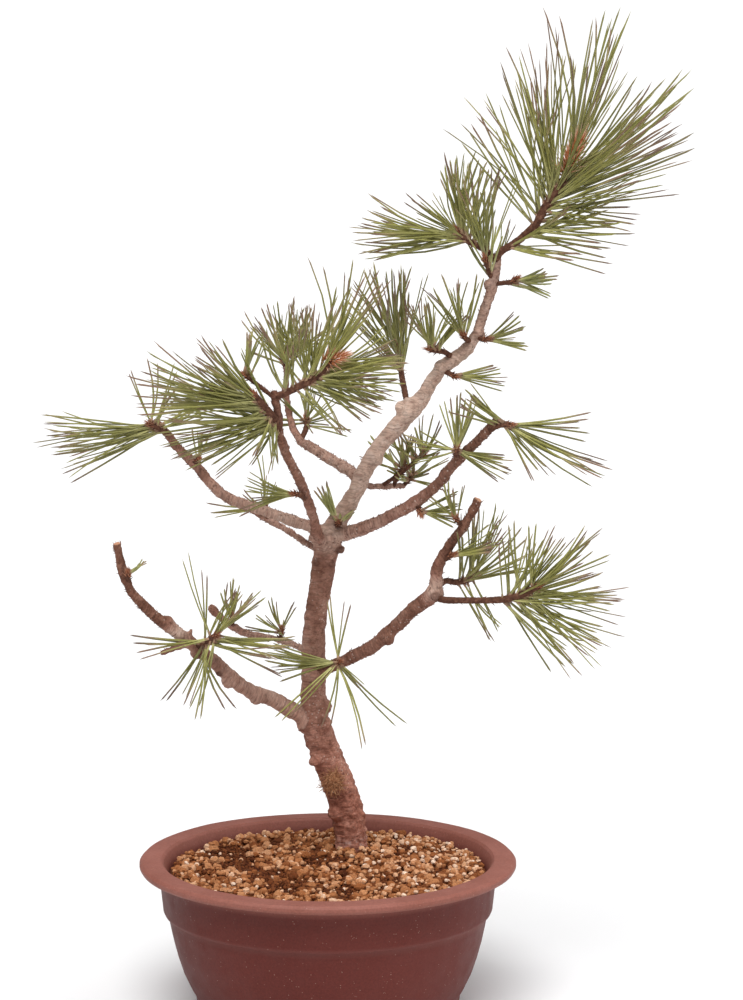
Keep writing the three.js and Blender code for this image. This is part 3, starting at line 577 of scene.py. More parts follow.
def clay_look():
    """Unglazed red-brown clay with fine pale grains in it, and a paler lip: partly a weathered pale
    bloom, partly painted light from above on the rim.
    """
    look = Look("brown_clay", 0.62, 0.22)
    body = look.ramp(look.noise(9, 4, 0.5), [
        (0.3, (0.105, 0.018, 0.013)), (0.55, (0.12, 0.022, 0.016)), (0.75, (0.138, 0.027, 0.02))])
    lip = look.ramp(look.noise(30, 5, 0.6), [
        (0.3, (0.255, 0.088, 0.063)), (0.7, (0.315, 0.12, 0.092))])
    # Paler lip and rim top: part weathered bloom, part painted light falling from above.
    lip_bloom_and_top_light = look.grey_ramp(look.height(), (0.0905, 0.0), (0.0965, 0.75), (0.1025, 1.0))
    colour = look.mix(lip_bloom_and_top_light, body, lip)
    fine = look.grey_ramp(look.noise(700, 3, 0.7), (0.35, 0.88), (0.65, 1.1))
    colour = look.darken(1.0, colour, fine)
    grain = look.grey_ramp(look.cells(520), (0.1, 1), (0.18, 0))
    rare = look.grey_ramp(look.noise(260, 1), (0.56, 0), (0.64, 1))
    speck = look.maths("MULTIPLY", look.maths("MULTIPLY", grain, rare), 0.6)
    colour = look.mix(speck, colour, (0.5, 0.3, 0.24))
    ring = look.grey_ramp(look.height(), (0.0655, 0), (0.0668, 0.16), (0.068, 0))
    look.colour(look.mix(ring, colour, (0.45, 0.2, 0.17)))
    look.roughness(look.grey_ramp(look.noise(90, 4), (0.3, 0.5), (0.75, 0.66)))
    look.bump(look.noise(420, 4, 0.6), 0.2, 0.3)
    look.bump(look.cells(300), 0.1, 0.3)
    return look.material


def soil_bed_look():
    """The dark fine soil under the grains, dark partly as the soil's own colour and partly as painted
    shade in the gaps between the grains.
    """
    look = Look("dark_soil_and_gap_shade", 0.95, 0.2)
    # Very dark: painted shade between the grains as well as the dark soil.
    look.colour(look.ramp(look.noise(420, 6, 0.7), [
        (0.3, (0.038, 0.01, 0.004)), (0.55, (0.1, 0.028, 0.009)), (0.75, (0.2, 0.064, 0.022))]))
    look.bump(look.cells(520), 0.9, 1.0)
    return look.material


def grain_look():
    """Baked clay and pumice grains; each grain carries its own tint."""
    look = Look("soil_grains", 0.9, 0.15)
    base = look.ramp(look.number("tint"), [
        (0.0, (0.06, 0.014, 0.005)), (0.2, (0.16, 0.046, 0.014)), (0.4, (0.32, 0.11, 0.036)),
        (0.6, (0.52, 0.235, 0.105)), (0.8, (0.72, 0.42, 0.25)), (1.0, (0.9, 0.7, 0.55))])
    pores = look.grey_ramp(look.noise(800, 5, 0.7), (0.3, 0.55), (0.6, 1.15))
    look.colour(look.darken(1.0, base, pores))
    look.bump(look.noise(1200, 3), 0.6, 0.4)
    return look.material


def bark_look():
    """Thin pine bark: reddish and wrinkled low down, pale and finely scaled where it is younger."""
    look = Look("pine_bark", 0.85, 0.15)
    grain = look.node("ShaderNodeUVMap", {"uv_map": "grain"}).outputs["UV"]
    height = look.height()
    pale = look.ramp(look.noise(110, 6, 0.65), [
        (0.28, (0.44, 0.292, 0.228)), (0.5, (0.63, 0.455, 0.365)), (0.74, (0.78, 0.63, 0.54))])
    brown = look.ramp(look.noise(95, 6, 0.65), [
        (0.28, (0.165, 0.07, 0.047)), (0.5, (0.29, 0.142, 0.102)), (0.74, (0.47, 0.285, 0.222))])
    dark = look.ramp(look.noise(120, 6, 0.7), [
        (0.28, (0.085, 0.034, 0.022)), (0.5, (0.165, 0.072, 0.046)), (0.74, (0.34, 0.18, 0.125))])
    colour = look.mix(look.grey_ramp(look.number("brown"), (0.0, 0), (0.7, 1)), pale, brown)
    colour = look.mix(look.grey_ramp(look.number("brown"), (0.7, 0), (1.0, 1)), colour, dark)
    old = look.ramp(look.noise(130, 6, 0.7), [
        (0.3, (0.185, 0.062, 0.04)), (0.5, (0.39, 0.158, 0.108)), (0.72, (0.64, 0.335, 0.255))])
    colour = look.mix(look.grey_ramp(height, (0.14, 1), (0.24, 0)), colour, old)
    fleck = look.grey_ramp(look.noise(330, 3, 0.6, grain), (0.56, 0), (0.66, 0.55))
    colour = look.mix(fleck, colour, (0.235, 0.11, 0.082))
    wrinkle = look.node("ShaderNodeTexNoise", Vector=grain, Scale=700, Detail=6, Roughness=0.6,
                        Distortion=0.5).outputs["Fac"]
    # Painted shade in the wrinkles' furrows and painted highlight on their ridges, matching the bump
    # below.
    wrinkle_shade_and_highlight = look.grey_ramp(wrinkle, (0.34, 0.45), (0.47, 0.95), (0.66, 1.3))
    colour = look.darken(0.65, colour, wrinkle_shade_and_highlight)
    scale_edge = look.cells(420, "DISTANCE_TO_EDGE", grain)
    colour = look.darken(0.6, colour, look.grey_ramp(scale_edge, (0.0, 0.66), (0.1, 1.0)))
    speck = look.maths("MULTIPLY", look.grey_ramp(look.cells(420), (0.16, 1), (0.26, 0)),
                       look.grey_ramp(look.noise(60, 2), (0.5, 0), (0.6, 0.6)))
    colour = look.mix(speck, colour, (0.62, 0.5, 0.44))
    water_line = look.grey_ramp(height, (0.0975, 0), (0.099, 1), (0.1015, 1), (0.105, 0))
    lime = look.maths("MULTIPLY", water_line,
                      look.grey_ramp(look.noise(300, 5, 0.7), (0.48, 0), (0.64, 0.7)))
    colour = look.mix(lime, colour, (0.6, 0.44, 0.4))
    knotty = look.maths("MULTIPLY", look.number("knot"),
                        look.grey_ramp(look.noise(500, 4), (0.3, 0.9), (0.7, 0.4)))
    colour = look.mix(knotty, colour, (0.085, 0.036, 0.025))
    colour = look.mix(look.number("cut"), colour, look.ramp(look.noise(160, 4), [
        (0.35, (0.5, 0.235, 0.14)), (0.7, (0.7, 0.42, 0.28))]))
    look.colour(colour)
    look.bump(wrinkle, 0.65, 0.8)
    look.bump(scale_edge, 0.4, 0.5)
    look.bump(look.noise(900, 4), 0.3, 0.3)
    return look.material


def twig_look():
    """The rough brown wood of this year's twigs."""
    look = Look("young_twig", 0.85, 0.25)
    look.colour(look.ramp(look.noise(380, 5, 0.65), [
        (0.3, (0.05, 0.019, 0.012)), (0.55, (0.125, 0.052, 0.031)), (0.78, (0.3, 0.155, 0.098))]))
    look.bump(look.noise(800, 4), 0.6, 0.5)
    return look.material


def scale_look(name, dark, mid, pale):
    """Papery bud scales."""
    look = Look(name, 0.7, 0.3)
    body = look.ramp(look.noise(700, 4), [(0.3, dark), (0.55, mid), (0.8, pale)])
    look.colour(look.mix(look.grey_ramp(look.number("along"), (0.3, 0), (0.95, 0.85)), body, pale))
    look.bump(look.noise(1500, 3), 0.4, 0.2)
    return look.material


def needle_look(name, root, middle, upper, tip, turn):
    """Waxy needles that change colour from root to tip; turn is where the green ends."""
    look = Look(name, 0.45, 0.35)
    tint = look.number("tint")
    reach = look.maths("ADD", look.maths("MULTIPLY", look.maths("SUBTRACT", tint, 0.5), 0.6), 1.0)
    along = look.maths("MULTIPLY", look.number("along"), reach)
    colour = look.ramp(along, [
        (0.0, (0.3, 0.18, 0.11)), (0.045, (0.34, 0.23, 0.14)), (0.07, root), (turn * 0.5, middle),
        (turn, middle), (min(turn + 0.2, 0.93), upper), (1.0, tip)])
    shade = look.grey_ramp(look.maths("FRACT", look.maths("MULTIPLY", tint, 7.3)),
                           (0.0, 1.3), (0.5, 1.0), (1.0, 0.72))
    colour = look.darken(1.0, colour, shade)
    streak = look.grey_ramp(look.noise(500, 2), (0.3, 0.85), (0.7, 1.15))
    look.colour(look.darken(1.0, colour, streak))
    return look.material


def moss_look():
    """Dry fibres, brown to straw."""
    look = Look("dry_moss", 0.95, 0.1)
    look.colour(look.ramp(look.noise(420, 4), [
        (0.3, (0.3, 0.125, 0.06)), (0.55, (0.5, 0.25, 0.13)), (0.78, (0.76, 0.5, 0.32))]))
    look.bump(look.noise(1500, 3), 0.7, 0.6)
    return look.material


def plastic_mesh_look():
    look = Look("black_plastic_mesh", 0.5, 0.4)
    look.colour(look.ramp(look.noise(300, 3), [
        (0.3, (0.01, 0.011, 0.012)), (0.7, (0.024, 0.025, 0.027))]))
    look.bump(look.noise(900, 2), 0.2, 0.2)
    return look.material


def floor_look():
    look = Look("pale_floor", 0.9, 0.1)
    look.colour(look.ramp(look.noise(2, 2), [(0.3, (0.86, 0.86, 0.87)), (0.7, (0.9, 0.9, 0.9))]))
    return look.material


# ---- Camera, lights and floor ----

def set_camera():
    pitch = math.radians(CAMERA_PITCH)
    forward = Vector((0, math.cos(pitch), -math.sin(pitch)))
    spot = (Vector(CAMERA_TARGET) - CAMERA_DISTANCE * forward) * MM
    bpy.ops.object.camera_add(location=spot, rotation=(math.radians(90) - pitch, 0, 0))
    camera = bpy.context.object
    camera.data.sensor_fit = "VERTICAL"
    camera.data.sensor_height = CAMERA_SENSOR
    camera.data.lens = CAMERA_LENS
    camera.data.clip_end = CAMERA_REACH
    bpy.context.scene.camera = camera


def soft_sun(name, direction, softness, power):
    bpy.ops.object.light_add(type="SUN", location=(0, 0, 2))
    light = bpy.context.object
    light.name = name
    light.data.angle = math.radians(softness)
    light.data.energy = power
    light.rotation_euler = Vector(direction).to_track_quat("-Z", "Y").to_euler()


def set_studio():
    """Soft light from above, in a white room that looks whiter than the light it gives."""
    for sun in SUNS:
        soft_sun(*sun)
    world = bpy.data.worlds.new("studio")
    bpy.context.scene.world = world
    world.use_nodes = True
    nodes = world.node_tree.nodes
    links = world.node_tree.links
    room = nodes["Background"]
    room.inputs["Color"].default_value = (1, 1, 1, 1)
    seen = nodes.new("ShaderNodeLightPath").outputs["Is Camera Ray"]
    strength = nodes.new("ShaderNodeMapRange")
    strength.inputs["To Min"].default_value = ROOM_LIGHT
    strength.inputs["To Max"].default_value = ROOM_SEEN
    links.new(seen, strength.inputs["Value"])
    links.new(strength.outputs["Result"], room.inputs["Strength"])
    bpy.context.scene.view_settings.view_transform = "Standard"
    floor = primitive("floor", bpy.ops.mesh.primitive_circle_add, vertices=64,
                      radius=FLOOR_RADIUS, fill_type="NGON", location=(0, 0, 0))
    floor.data.materials.append(floor_look())


# ---- The pot ----

def drain_cutters(angle):
    """A round hole through the floor, and a channel under it, out to the edge of the foot."""
    turn = Matrix.Rotation(math.radians(angle), 4, "Z")
    hole = primitive("drain_hole", bpy.ops.mesh.primitive_cylinder_add, vertices=64,
                     radius=DRAIN_HOLE_RADIUS * MM, depth=DRILL_LENGTH * MM,
                     location=turn @ mm((DRAIN_HOLE_RING, 0, 0)))
    channel = primitive("drain_channel", bpy.ops.mesh.primitive_cube_add, size=1,
                        location=turn @ mm((DRAIN_HOLE_RING + CHANNEL_LENGTH / 2, 0, 0)),
                        rotation=(0, 0, math.radians(angle)),
                        scale=mm((CHANNEL_LENGTH, CHANNEL_WIDTH, 2 * CHANNEL_DEPTH)))
    return [hole, channel]


def make_pot():
    grow_line([mm((radius, 0, height)) for radius, height in POT_PROFILE])
    bpy.ops.mesh.select_all(action="SELECT")
    bpy.ops.mesh.spin(steps=POT_STEPS, angle=2 * math.pi, center=(0, 0, 0), axis=(0, 0, 1))
    bpy.ops.mesh.select_all(action="SELECT")
    bpy.ops.mesh.remove_doubles(threshold=0.02 * MM)
    bpy.ops.mesh.normals_make_consistent(inside=False)
    leave_edit()
    pot = new_piece("clay_pot")
    cutters = [cutter for angle in DRAIN_HOLE_ANGLES for cutter in drain_cutters(angle)]
    for cutter in cutters:
        modify(pot, "BOOLEAN", object=cutter, operation="DIFFERENCE", solver="EXACT")
    remove(cutters)
    modify(pot, "BEVEL", width=POT_EDGE_ROUNDING * MM, segments=3, limit_method="ANGLE",
           angle_limit=math.radians(POT_EDGE_ANGLE))
    wall = [vertex.index for vertex in pot.data.vertices if vertex.co.z > POT_FOOT_TOP * MM]
    pot.vertex_groups.new(name="wall").add(wall, 1, "REPLACE")
    roughen(pot, "hand_turned", POT_WOBBLE_SIZE, POT_WOBBLE, group="wall")
    smooth(pot, 35)
    finish_piece(pot, clay_look(), ["pot"])


# ---- The soil ----

def soil_height(x, y):
    """Height of the soil in millimetres, with low waves in it."""
    away = math.hypot(x, y) / SOIL_RADIUS
    broad = 0.9 * math.sin(x / 17 + 1.3) * math.cos(y / 21)
    small = 0.6 * math.sin(x / 7) * math.sin(y / 8 + 2)
    return SOIL_EDGE_HEIGHT + SOIL_RISE * (1 - away * away) + (broad + small)


def grain_template(name, stretch, seed):
    """A rounded lump: a bevelled cube, pushed out of true."""
    grain = primitive(name, bpy.ops.mesh.primitive_cube_add, size=MM, location=(0, 0, 0),
                      scale=stretch)
    edit(grain)
    bpy.ops.mesh.bevel(offset=GRAIN_ROUNDING * MM, segments=1, affect="EDGES")
    bpy.ops.mesh.select_all(action="SELECT")
    bpy.ops.transform.vertex_random(offset=GRAIN_UNEVENNESS * MM, seed=seed)
    bpy.ops.mesh.normals_make_consistent(inside=False)
    leave_edit()
    smooth(grain, 28)
    return grain


def darkness(x, y):
    """1 in the middle of a dark patch, 0 outside all of them."""
    return max(max(0.0, 1 - math.hypot(x - px, y - py) / size) for px, py, size in DARK_PATCHES)


def sow(templates, chance, spots):
    """Copies of the grains at the spots: (x, y, lift, size, tint) in millimetres."""
    grains = []
    for x, y, lift, size, tint in spots:
        place = mm((x, y, soil_height(x, y) + lift))
        facing = Vector([chance.uniform(-3, 3) for _ in range(3)]).to_track_quat("Z", "Y")
        grain = copy_of(chance.choice(templates),
                        Matrix.LocRotScale(place, facing, Vector((size, size, size))))
        set_number(grain, "tint", tint)
        grains.append(grain)
    return grains


def scatter_spots(chance, spacing, keep):
    """Jittered rows of places on the soil that pass the keep test."""
    spots = []
    rows = int(SOIL_RADIUS / (spacing * ROW_STEP)) + 1
    columns = int(SOIL_RADIUS / spacing) + 1
    for row in range(-rows, rows + 1):
        for column in range(-columns, columns + 1):
            x = (column + 0.5 * (row % 2)) * spacing
            x += chance.uniform(-GRAIN_JITTER, GRAIN_JITTER) * spacing
            y = row * spacing * ROW_STEP
            y += chance.uniform(-GRAIN_JITTER, GRAIN_JITTER) * spacing
            in_pot = math.hypot(x, y) < SOIL_RADIUS - WALL_GAP
            by_trunk = math.hypot(x - TRUNK_FOOT[0], y - TRUNK_FOOT[1]) < TRUNK_FOOT_RADIUS
            if in_pot and not by_trunk and keep(x, y):
                spots.append((x, y))
    return spots


def lower_grains(chance):
    """The bed of grains, darker than the upper ones throughout as painted shade beneath them, and
    sparser and darker still in the dark patches.
    """
    grains = []
    for x, y in scatter_spots(chance, LOWER_SPACING, lambda x, y: True):
        dark = darkness(x, y)
        if chance.random() < dark * 1.3:
            continue
        size = chance.triangular(2.4, 5.2, 3.4)
        # Low tints: painted shade under the upper grains, deepened in the real dark dark patches.
        tint = clamp(chance.gauss(0.25 - 0.18 * dark, 0.13))
        grains.append((x, y, chance.uniform(-0.9, 0.9), size, tint))
    return grains


def upper_grains(chance):
    """Paler grains lying on the bed, palest on the right and by the wall, and a few big ones."""
    grains = []
    for x, y in scatter_spots(chance, UPPER_SPACING, lambda x, y: darkness(x, y) < 0.3):
        paler = 0.07 * min(1, max(-1, x / 60)) + (0.05 if math.hypot(x, y) > 85 else 0)
        if chance.random() < 0.25 + 0.7 * darkness(x, y):
            continue
        grains.append((x, y, chance.uniform(0.8, 3.8), chance.triangular(1.5, 4.6, 2.3),
                       clamp(chance.gauss(0.58 + paler, 0.18))))
    for x, y in scatter_spots(chance, BIG_SPACING, lambda x, y: darkness(x, y) < 0.5):
        grains.append((x, y, chance.uniform(1.2, 2.6), chance.uniform(4.6, 6.4),
                       clamp(chance.gauss(0.5, 0.14))))
    return grains


def fine_grains(chance):
    """Fine soil in the dark patches, with a pale grain here and there."""
    grains = []
    for x, y in scatter_spots(chance, FINE_SPACING, lambda x, y: darkness(x, y) > 0.1):
        tints = (0.6, 0.95) if chance.random() < 0.05 else (0.0, 0.26)
        grains.append((x, y, chance.uniform(0, 1.3), chance.uniform(1.2, 2.6),
                       chance.uniform(*tints)))
    return grains


def make_soil():
    chance = random.Random(11)
    templates = [grain_template(name, stretch, seed)
                 for seed, (name, stretch) in enumerate(GRAIN_SHAPES.items(), 1)]
    layers = {
        "soil_grains_lower": lower_grains(chance),
        "soil_grains_upper": upper_grains(chance),
        "soil_grains_fine": fine_grains(chance),
    }
    look = grain_look()
    for name, spots in layers.items():
        finish_piece(join(sow(templates, chance, spots), name), look)
    remove(templates)
    dress(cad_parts["soil"], soil_bed_look())


# ---- The wood ----

def copy_of_node(node):
    """A merged copy of a CAD node."""
    limb = copy_of(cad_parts[node], Matrix())
    limb.parent = None
    limb.matrix_world = Matrix()
    edit(limb)
    bpy.ops.mesh.remove_doubles(threshold=0.01 * MM)
    leave_edit()
    return limb


def tree_of(limb):
    """The limb's surface, for finding what is nearest."""
    return BVHTree.FromPolygons([vertex.co for vertex in limb.data.vertices],
                                [face.vertices for face in limb.data.polygons])


def knot(centre, radius):
    return primitive("knot", bpy.ops.mesh.primitive_ico_sphere_add, subdivisions=3,
                     radius=radius * MM, location=mm(centre))


def brownness(spot, limb):
    """How brown the bark is at a place on a limb."""
    if limb != "trunk":
        away = (spot - Vector(LIMB_STARTS[limb])).length
        far = clamp(away / BROWNING_LENGTH - BROWNING_DELAY)
        return LIMB_BROWN[limb] + (DARKEST_BROWN - LIMB_BROWN[limb]) * far
    for (low, before), (high, after) in zip(TRUNK_BROWN, TRUNK_BROWN[1:]):
        if spot.z < high:
            return before + (after - before) * max(0, (spot.z - low) / (high - low))
    return TRUNK_BROWN[-1][1]


def paleness(spot):
    """1 in the middle of a pale collar, 0 outside all of them."""
    return max(max(0, 1 - (spot - Vector(centre)).length / size) for centre, size in PALE_COLLARS)


def mark_grain(skin, limb_trees):
    """Gives each vertex its bark coordinates: across the limb, and along it from where it starts."""
    mesh = skin.data
    places = []
    for vertex in mesh.vertices:
        nearest = min(limb_trees, key=lambda node: limb_trees[node].find_nearest(vertex.co)[3])
        along = (vertex.co - mm(LIMB_STARTS[nearest])).length
        places.append((ACROSS_STRETCH * (vertex.co.x + vertex.co.y), along, nearest))
    browns = []
    for vertex, (_, _, limb) in zip(mesh.vertices, places):
        spot = vertex.co / MM
        pale = 1 - COLLAR_PALENESS * paleness(spot)
        browns.append(brownness(spot, limb) * pale / DARKEST_BROWN)
    set_number(skin, "brown", browns)
    layer = mesh.uv_layers.new(name="grain")
    for loop in mesh.loops:
        across, along, _ = places[loop.vertex_index]
        layer.data[loop.index].uv = (across, along)
    return places


def mark_knots(skin):
    """Dark in a ring round each knot, and less so in its middle."""
    values = []
    for vertex in skin.data.vertices:
        spot = vertex.co / MM
        near = min((spot - Vector(centre)).length / radius for centre, radius in KNOTS)
        values.append(clamp((1.5 - near) / 0.6) * min(1, 0.3 + 0.8 * near))
    set_number(skin, "knot", values)


def mark_cuts(skin):
    """1 on the bare wood of the pruned ends, 0 on bark."""
    values = []
    for vertex in skin.data.vertices:
        cut = 0.0
        for centre, facing in CUT_ENDS:
            near = (vertex.co - mm(centre)).length < CUT_RADIUS * MM
            if near and vertex.normal.dot(Vector(facing).normalized()) > CUT_FACING:
                cut = 1.0
        values.append(cut)
    set_number(skin, "cut", values)


def make_bark():
    """The trunk and branches, grown together into one skin with their swellings and knots."""
    limbs = {node: copy_of_node(node) for node in WOOD_NODES}
    limb_trees = {node: tree_of(limb) for node, limb in limbs.items()}
    for limb in limbs.values():
        modify(limb, "DISPLACE", strength=SKIN_SWELL * MM, mid_level=0)
    knots = [knot(centre, radius) for centre, radius in SWELLINGS + KNOTS]
    skin = join(list(limbs.values()) + knots, "bark")
    modify(skin, "REMESH", mode="VOXEL", voxel_size=SKIN_VOXEL * MM)
    modify(skin, "SMOOTH", factor=0.5, iterations=7)
    modify(skin, "DISPLACE", strength=-SKIN_SWELL * MM, mid_level=0)
    limb_of = [limb for _, _, limb in mark_grain(skin, limb_trees)]
    roughen(skin, "bark_lumps", 9, 2.1)
    roughen(skin, "bark_flakes", 2.6, 1.2, detail=3)
    roughen(skin, "bark_wrinkles", 2.2, 0.35, grain=True)
    old_bark = [
        vertex.index for vertex in skin.data.vertices
        if limb_of[vertex.index] == "trunk" and vertex.co.z < OLD_BARK_TOP * MM]
    skin.vertex_groups.new(name="old_bark").add(old_bark, 1, "REPLACE")
    roughen(skin, "bark_plates", 5, 1.3, kind="VORONOI", group="old_bark", grain=True)
    mark_cuts(skin)
    mark_knots(skin)
    smooth(skin)
    finish_piece(skin, bark_look(), WOOD_NODES)
    make_bristles(skin, limb_of)


def make_bristles(skin, limb_of):
    """Short dark stubs where leaf scales have dried on the younger branches."""
    chance = random.Random(31)
    scale = scale_template("bristle_scale", BRISTLE_LENGTH, BRISTLE_WIDTH)
    bristles = []
    while len(bristles) < BRISTLES:
        vertex = skin.data.vertices[chance.randrange(len(limb_of))]
        limb = limb_of[vertex.index]
        spot = vertex.co / MM
        if limb == "trunk" and spot.z < SMOOTH_TRUNK_TOP:
            continue
        if limb == "branch_lower_left" and spot.x > SMOOTH_BRANCH_END:
            continue
        forward = (spot - Vector(LIMB_STARTS[limb])).normalized()
        way = (vertex.normal * chance.uniform(0.3, 0.8) + forward * 0.9).normalized()
        size = chance.uniform(0.4, 1.05)
        bristles.append(copy_of(scale, stand(spot - 0.4 * way, way, chance.uniform(-3, 3),
                                             (size, size, size))))
    piece = join(bristles, "bark_bristles")
    smooth(piece, 50)
    finish_piece(piece, scale_look("dried_scales", (0.075, 0.032, 0.02),
                                           (0.16, 0.078, 0.05), (0.3, 0.165, 0.11)))
    remove([scale])


# ---- Needles and twigs ----

def needle(length, bend, splay):
    """One needle standing on the origin: a four-sided rod that bends and ends in a short point."""
    rod = primitive("needle", bpy.ops.mesh.primitive_circle_add, vertices=4,
                    radius=NEEDLE_RADIUS * MM, location=(0, 0, 0))
    rod.scale = (1, NEEDLE_FLATNESS, 1)
    settle(rod)
    edit(rod)
    bpy.ops.mesh.edge_face_add()
    before = 0
    width = 1
    for after, wide in NEEDLE_RINGS:
        side = (bend * (after ** 2 - before ** 2) + splay * (after - before)) * length
        bpy.ops.mesh.extrude_region_move(
            TRANSFORM_OT_translate={"value": mm((side, 0, length * (after - before)))})
        if wide:
            bpy.ops.transform.resize(value=(wide / width, wide / width, 1))
            width = wide
        before = after
    bpy.ops.mesh.merge(type="CENTER")
    bpy.ops.mesh.select_all(action="SELECT")
    bpy.ops.mesh.normals_make_consistent(inside=False)
    leave_edit()
    set_number(rod, "along", [vertex.co.z / (length * MM) for vertex in rod.data.vertices])
    return rod


def needle_pair(length, bend, splay, twist):
    """Two needles from one papery sheath."""
    first = needle(length, bend, splay)
    second = needle(length * 0.97, bend * 0.8, -splay)
    second.rotation_euler = (0, 0, twist)
    settle(second)
    sheath = primitive("sheath", bpy.ops.mesh.primitive_cone_add, vertices=6,
                       radius1=1.05 * MM, radius2=0.75 * MM, depth=SHEATH_LENGTH * MM,
                       location=(0, 0, SHEATH_LENGTH / 2 * MM))
    set_number(sheath, "along", 0.0)
    pair = join([first, second, sheath], "needle_pair")
    smooth(pair)
    return pair


def smooth_line(points):
    """A Catmull-Rom curve through the twig's points: place(share) and heading(share)."""
    knots = [Vector(point[:3]) for point in points]
    ends = [knots[0] * 2 - knots[1]] + knots + [knots[-1] * 2 - knots[-2]]

    def place(share):
        spot = min(max(share, 0), 1) * (len(knots) - 1)
        index = min(int(spot), len(knots) - 2)
        a, b, c, d = ends[index:index + 4]
        t = spot - index
        return 0.5 * (2 * b + (c - a) * t + (2 * a - 5 * b + 4 * c - d) * t * t
                      + (3 * b - a - 3 * c + d) * t ** 3)

    def heading(share):
        low, high = max(share - 0.01, 0), min(share + 0.01, 1)
        return (place(high) - place(low)).normalized()

    return place, heading


def stand(place, heading, down_turn, size):
    """A matrix that stands a template on a place, along a heading, its bend turned from downwards."""
    down = -UP - heading * (-UP).dot(heading)
    if down.length < 0.05:
        down = Vector((1, 0, 0))
    down.normalize()
    side = Matrix.Rotation(down_turn, 4, heading) @ down
    other = heading.cross(side)
    turn = Matrix((side, other, heading)).transposed().to_4x4()
    return Matrix.Translation(place * MM) @ turn @ Matrix.Diagonal((*size, 1))


def fan_needle(line, fan, share, turn, chance):
    """Where one needle of a fan stands, the way it points, and its length."""
    place, _ = line
    _, start, end, length, opening, aim = fan
    way = Vector(aim).normalized()
    side = Matrix.Rotation(turn, 4, way) @ way.cross(Vector((0, 1, 0))).normalized()
    side.y *= FAN_DEPTH
    jitter = chance.uniform(-FAN_JITTER, FAN_JITTER)
    open_angle = math.radians(opening * math.sqrt(share) + jitter)
    way = (way * math.cos(open_angle) + side * math.sin(open_angle)).normalized()
    way += NEEDLE_STRAY * Vector([chance.uniform(-1, 1) for _ in range(3)])
    way = (way - NEEDLE_SAG * UP).normalized()
    base = place(end + (start - end) * share + chance.uniform(-0.02, 0.02)) + way * 0.6
    return base, way.normalized(), length * chance.uniform(0.8, 1.04)


def make_needles(shoot, templates, chance, look):
    line = smooth_line(shoot["twig"])
    pairs = []
    for fan in shoot["fans"]:
        count = fan[0]
        for index in range(count):
            turn = index * GOLDEN_ANGLE + chance.uniform(-0.5, 0.5)
            base, way, length = fan_needle(line, fan, (index + 0.5) / count, turn, chance)
            nominal = min(TEMPLATE_LENGTHS, key=lambda size: abs(math.log(size / length)))
            stretch = length / nominal
            width = chance.uniform(0.85, 1.12)
            place = stand(base, way, math.pi + chance.gauss(0, 1),
                          (stretch ** 0.5 * width, width, stretch))
            pair = copy_of(chance.choice(templates[nominal]), place)
            set_number(pair, "tint", chance.random())
            pairs.append(pair)
    piece = join(pairs, "needles_" + shoot["name"])
    finish_piece(piece, look, [shoot["name"]])


def scale_template(name, length, width):
    """A pointed scale standing on the origin: a flat cone, drawn in at its foot."""
    scale = primitive(name, bpy.ops.mesh.primitive_cone_add, vertices=5, radius1=width * MM,
                      radius2=0, depth=length * MM, location=(0, 0, length / 2 * MM),
                      scale=(0.35, 1, 1))
    edit(scale)
    pick_vertices(scale, lambda vertex: vertex.co.z < 0.2 * length * MM)
    bpy.ops.transform.resize(value=(0.8, 0.6, 1))
    bpy.ops.mesh.select_all(action="SELECT")
    bpy.ops.mesh.subdivide(number_cuts=1)
    leave_edit()
    set_number(scale, "along", [vertex.co.z / (length * MM) for vertex in scale.data.vertices])
    return scale


def spiral_side(index, along):
    """The way out from a stem for one leaf of the spiral round it."""
    return Matrix.Rotation(index * GOLDEN_ANGLE, 4, along) @ along.cross(UP).normalized()


def make_twig(shoot, scale, chance, material):
    """The twig with its rough leaf bases."""
    points = shoot["twig"]
    place, heading = smooth_line(points)
    steps = max(4, len(points) * 2)
    twig = grow_line([place(step / steps) * MM for step in range(steps + 1)])
    leave_edit()
    twig.modifiers.new("skin", "SKIN")
    for step, corner in enumerate(twig.data.skin_vertices[0].data):
        spot = step / steps * (len(points) - 1)
        before = min(int(spot), len(points) - 2)
        radius = points[before][3] + (points[before + 1][3] - points[before][3]) * (spot - before)
        corner.radius = (radius * 1.05 * MM, radius * 1.05 * MM)
    only(twig)
    bpy.ops.object.modifier_apply(modifier="skin")
    modify(twig, "SUBSURF", levels=2, render_levels=2)
    roughen(twig, "twig_rough", 1.6, 0.8, middle=0.45)
    bases = []
    count = int(14 + 0.7 * sum(fan[0] for fan in shoot["fans"]))
    for index in range(count):
        spot = 0.25 + 0.72 * index / count
        along = heading(spot)
        side = spiral_side(index, along)
        way = (along * 0.75 + side * chance.uniform(0.5, 1.0)).normalized()
        size = chance.uniform(0.7, 1.25)
        bases.append(copy_of(scale, stand(place(spot) + side * 1.2, way, chance.uniform(-3, 3),
                                          (size, size, size))))
    twig = join([twig] + bases, "twig_" + shoot["name"])
    smooth(twig, 50)
    finish_piece(twig, material, [shoot["name"]])


def make_bud(shoot, scale, chance, material):
    """Overlapping scales round the twig's tip, drawn out where the bud is a long candle."""
    place, heading = smooth_line(shoot["twig"])
    length = shoot.get("bud_length", BUD_LENGTH)
    sunk = shoot.get("bud_sunk", BUD_SUNK)
    along = (heading(1) + Vector(shoot.get("bud_lean", (0, 0, 0)))).normalized()
    fatness = 1 + 0.06 * length
    count = int(8 + 2.6 * length)
    scales = []
    for index in range(count):
        share = index / count
        side = spiral_side(index, along)
        way = (along + side * (0.4 + 0.035 * length) * (1 - share)).normalized()
        centre = place(1) + along * length * (0.9 * share - sunk)
        centre += side * fatness * (1 - share) ** 0.5
        size = chance.uniform(0.8, 1.4) * (0.8 + 0.045 * length)
        scales.append(copy_of(scale, stand(centre, way, chance.uniform(-0.5, 0.5),
                                           (fatness ** 0.5, fatness ** 0.7, size * fatness ** 0.5))))
    bud = join(scales, "bud_scales_" + shoot["name"])
    smooth(bud, 50)
    finish_piece(bud, material)


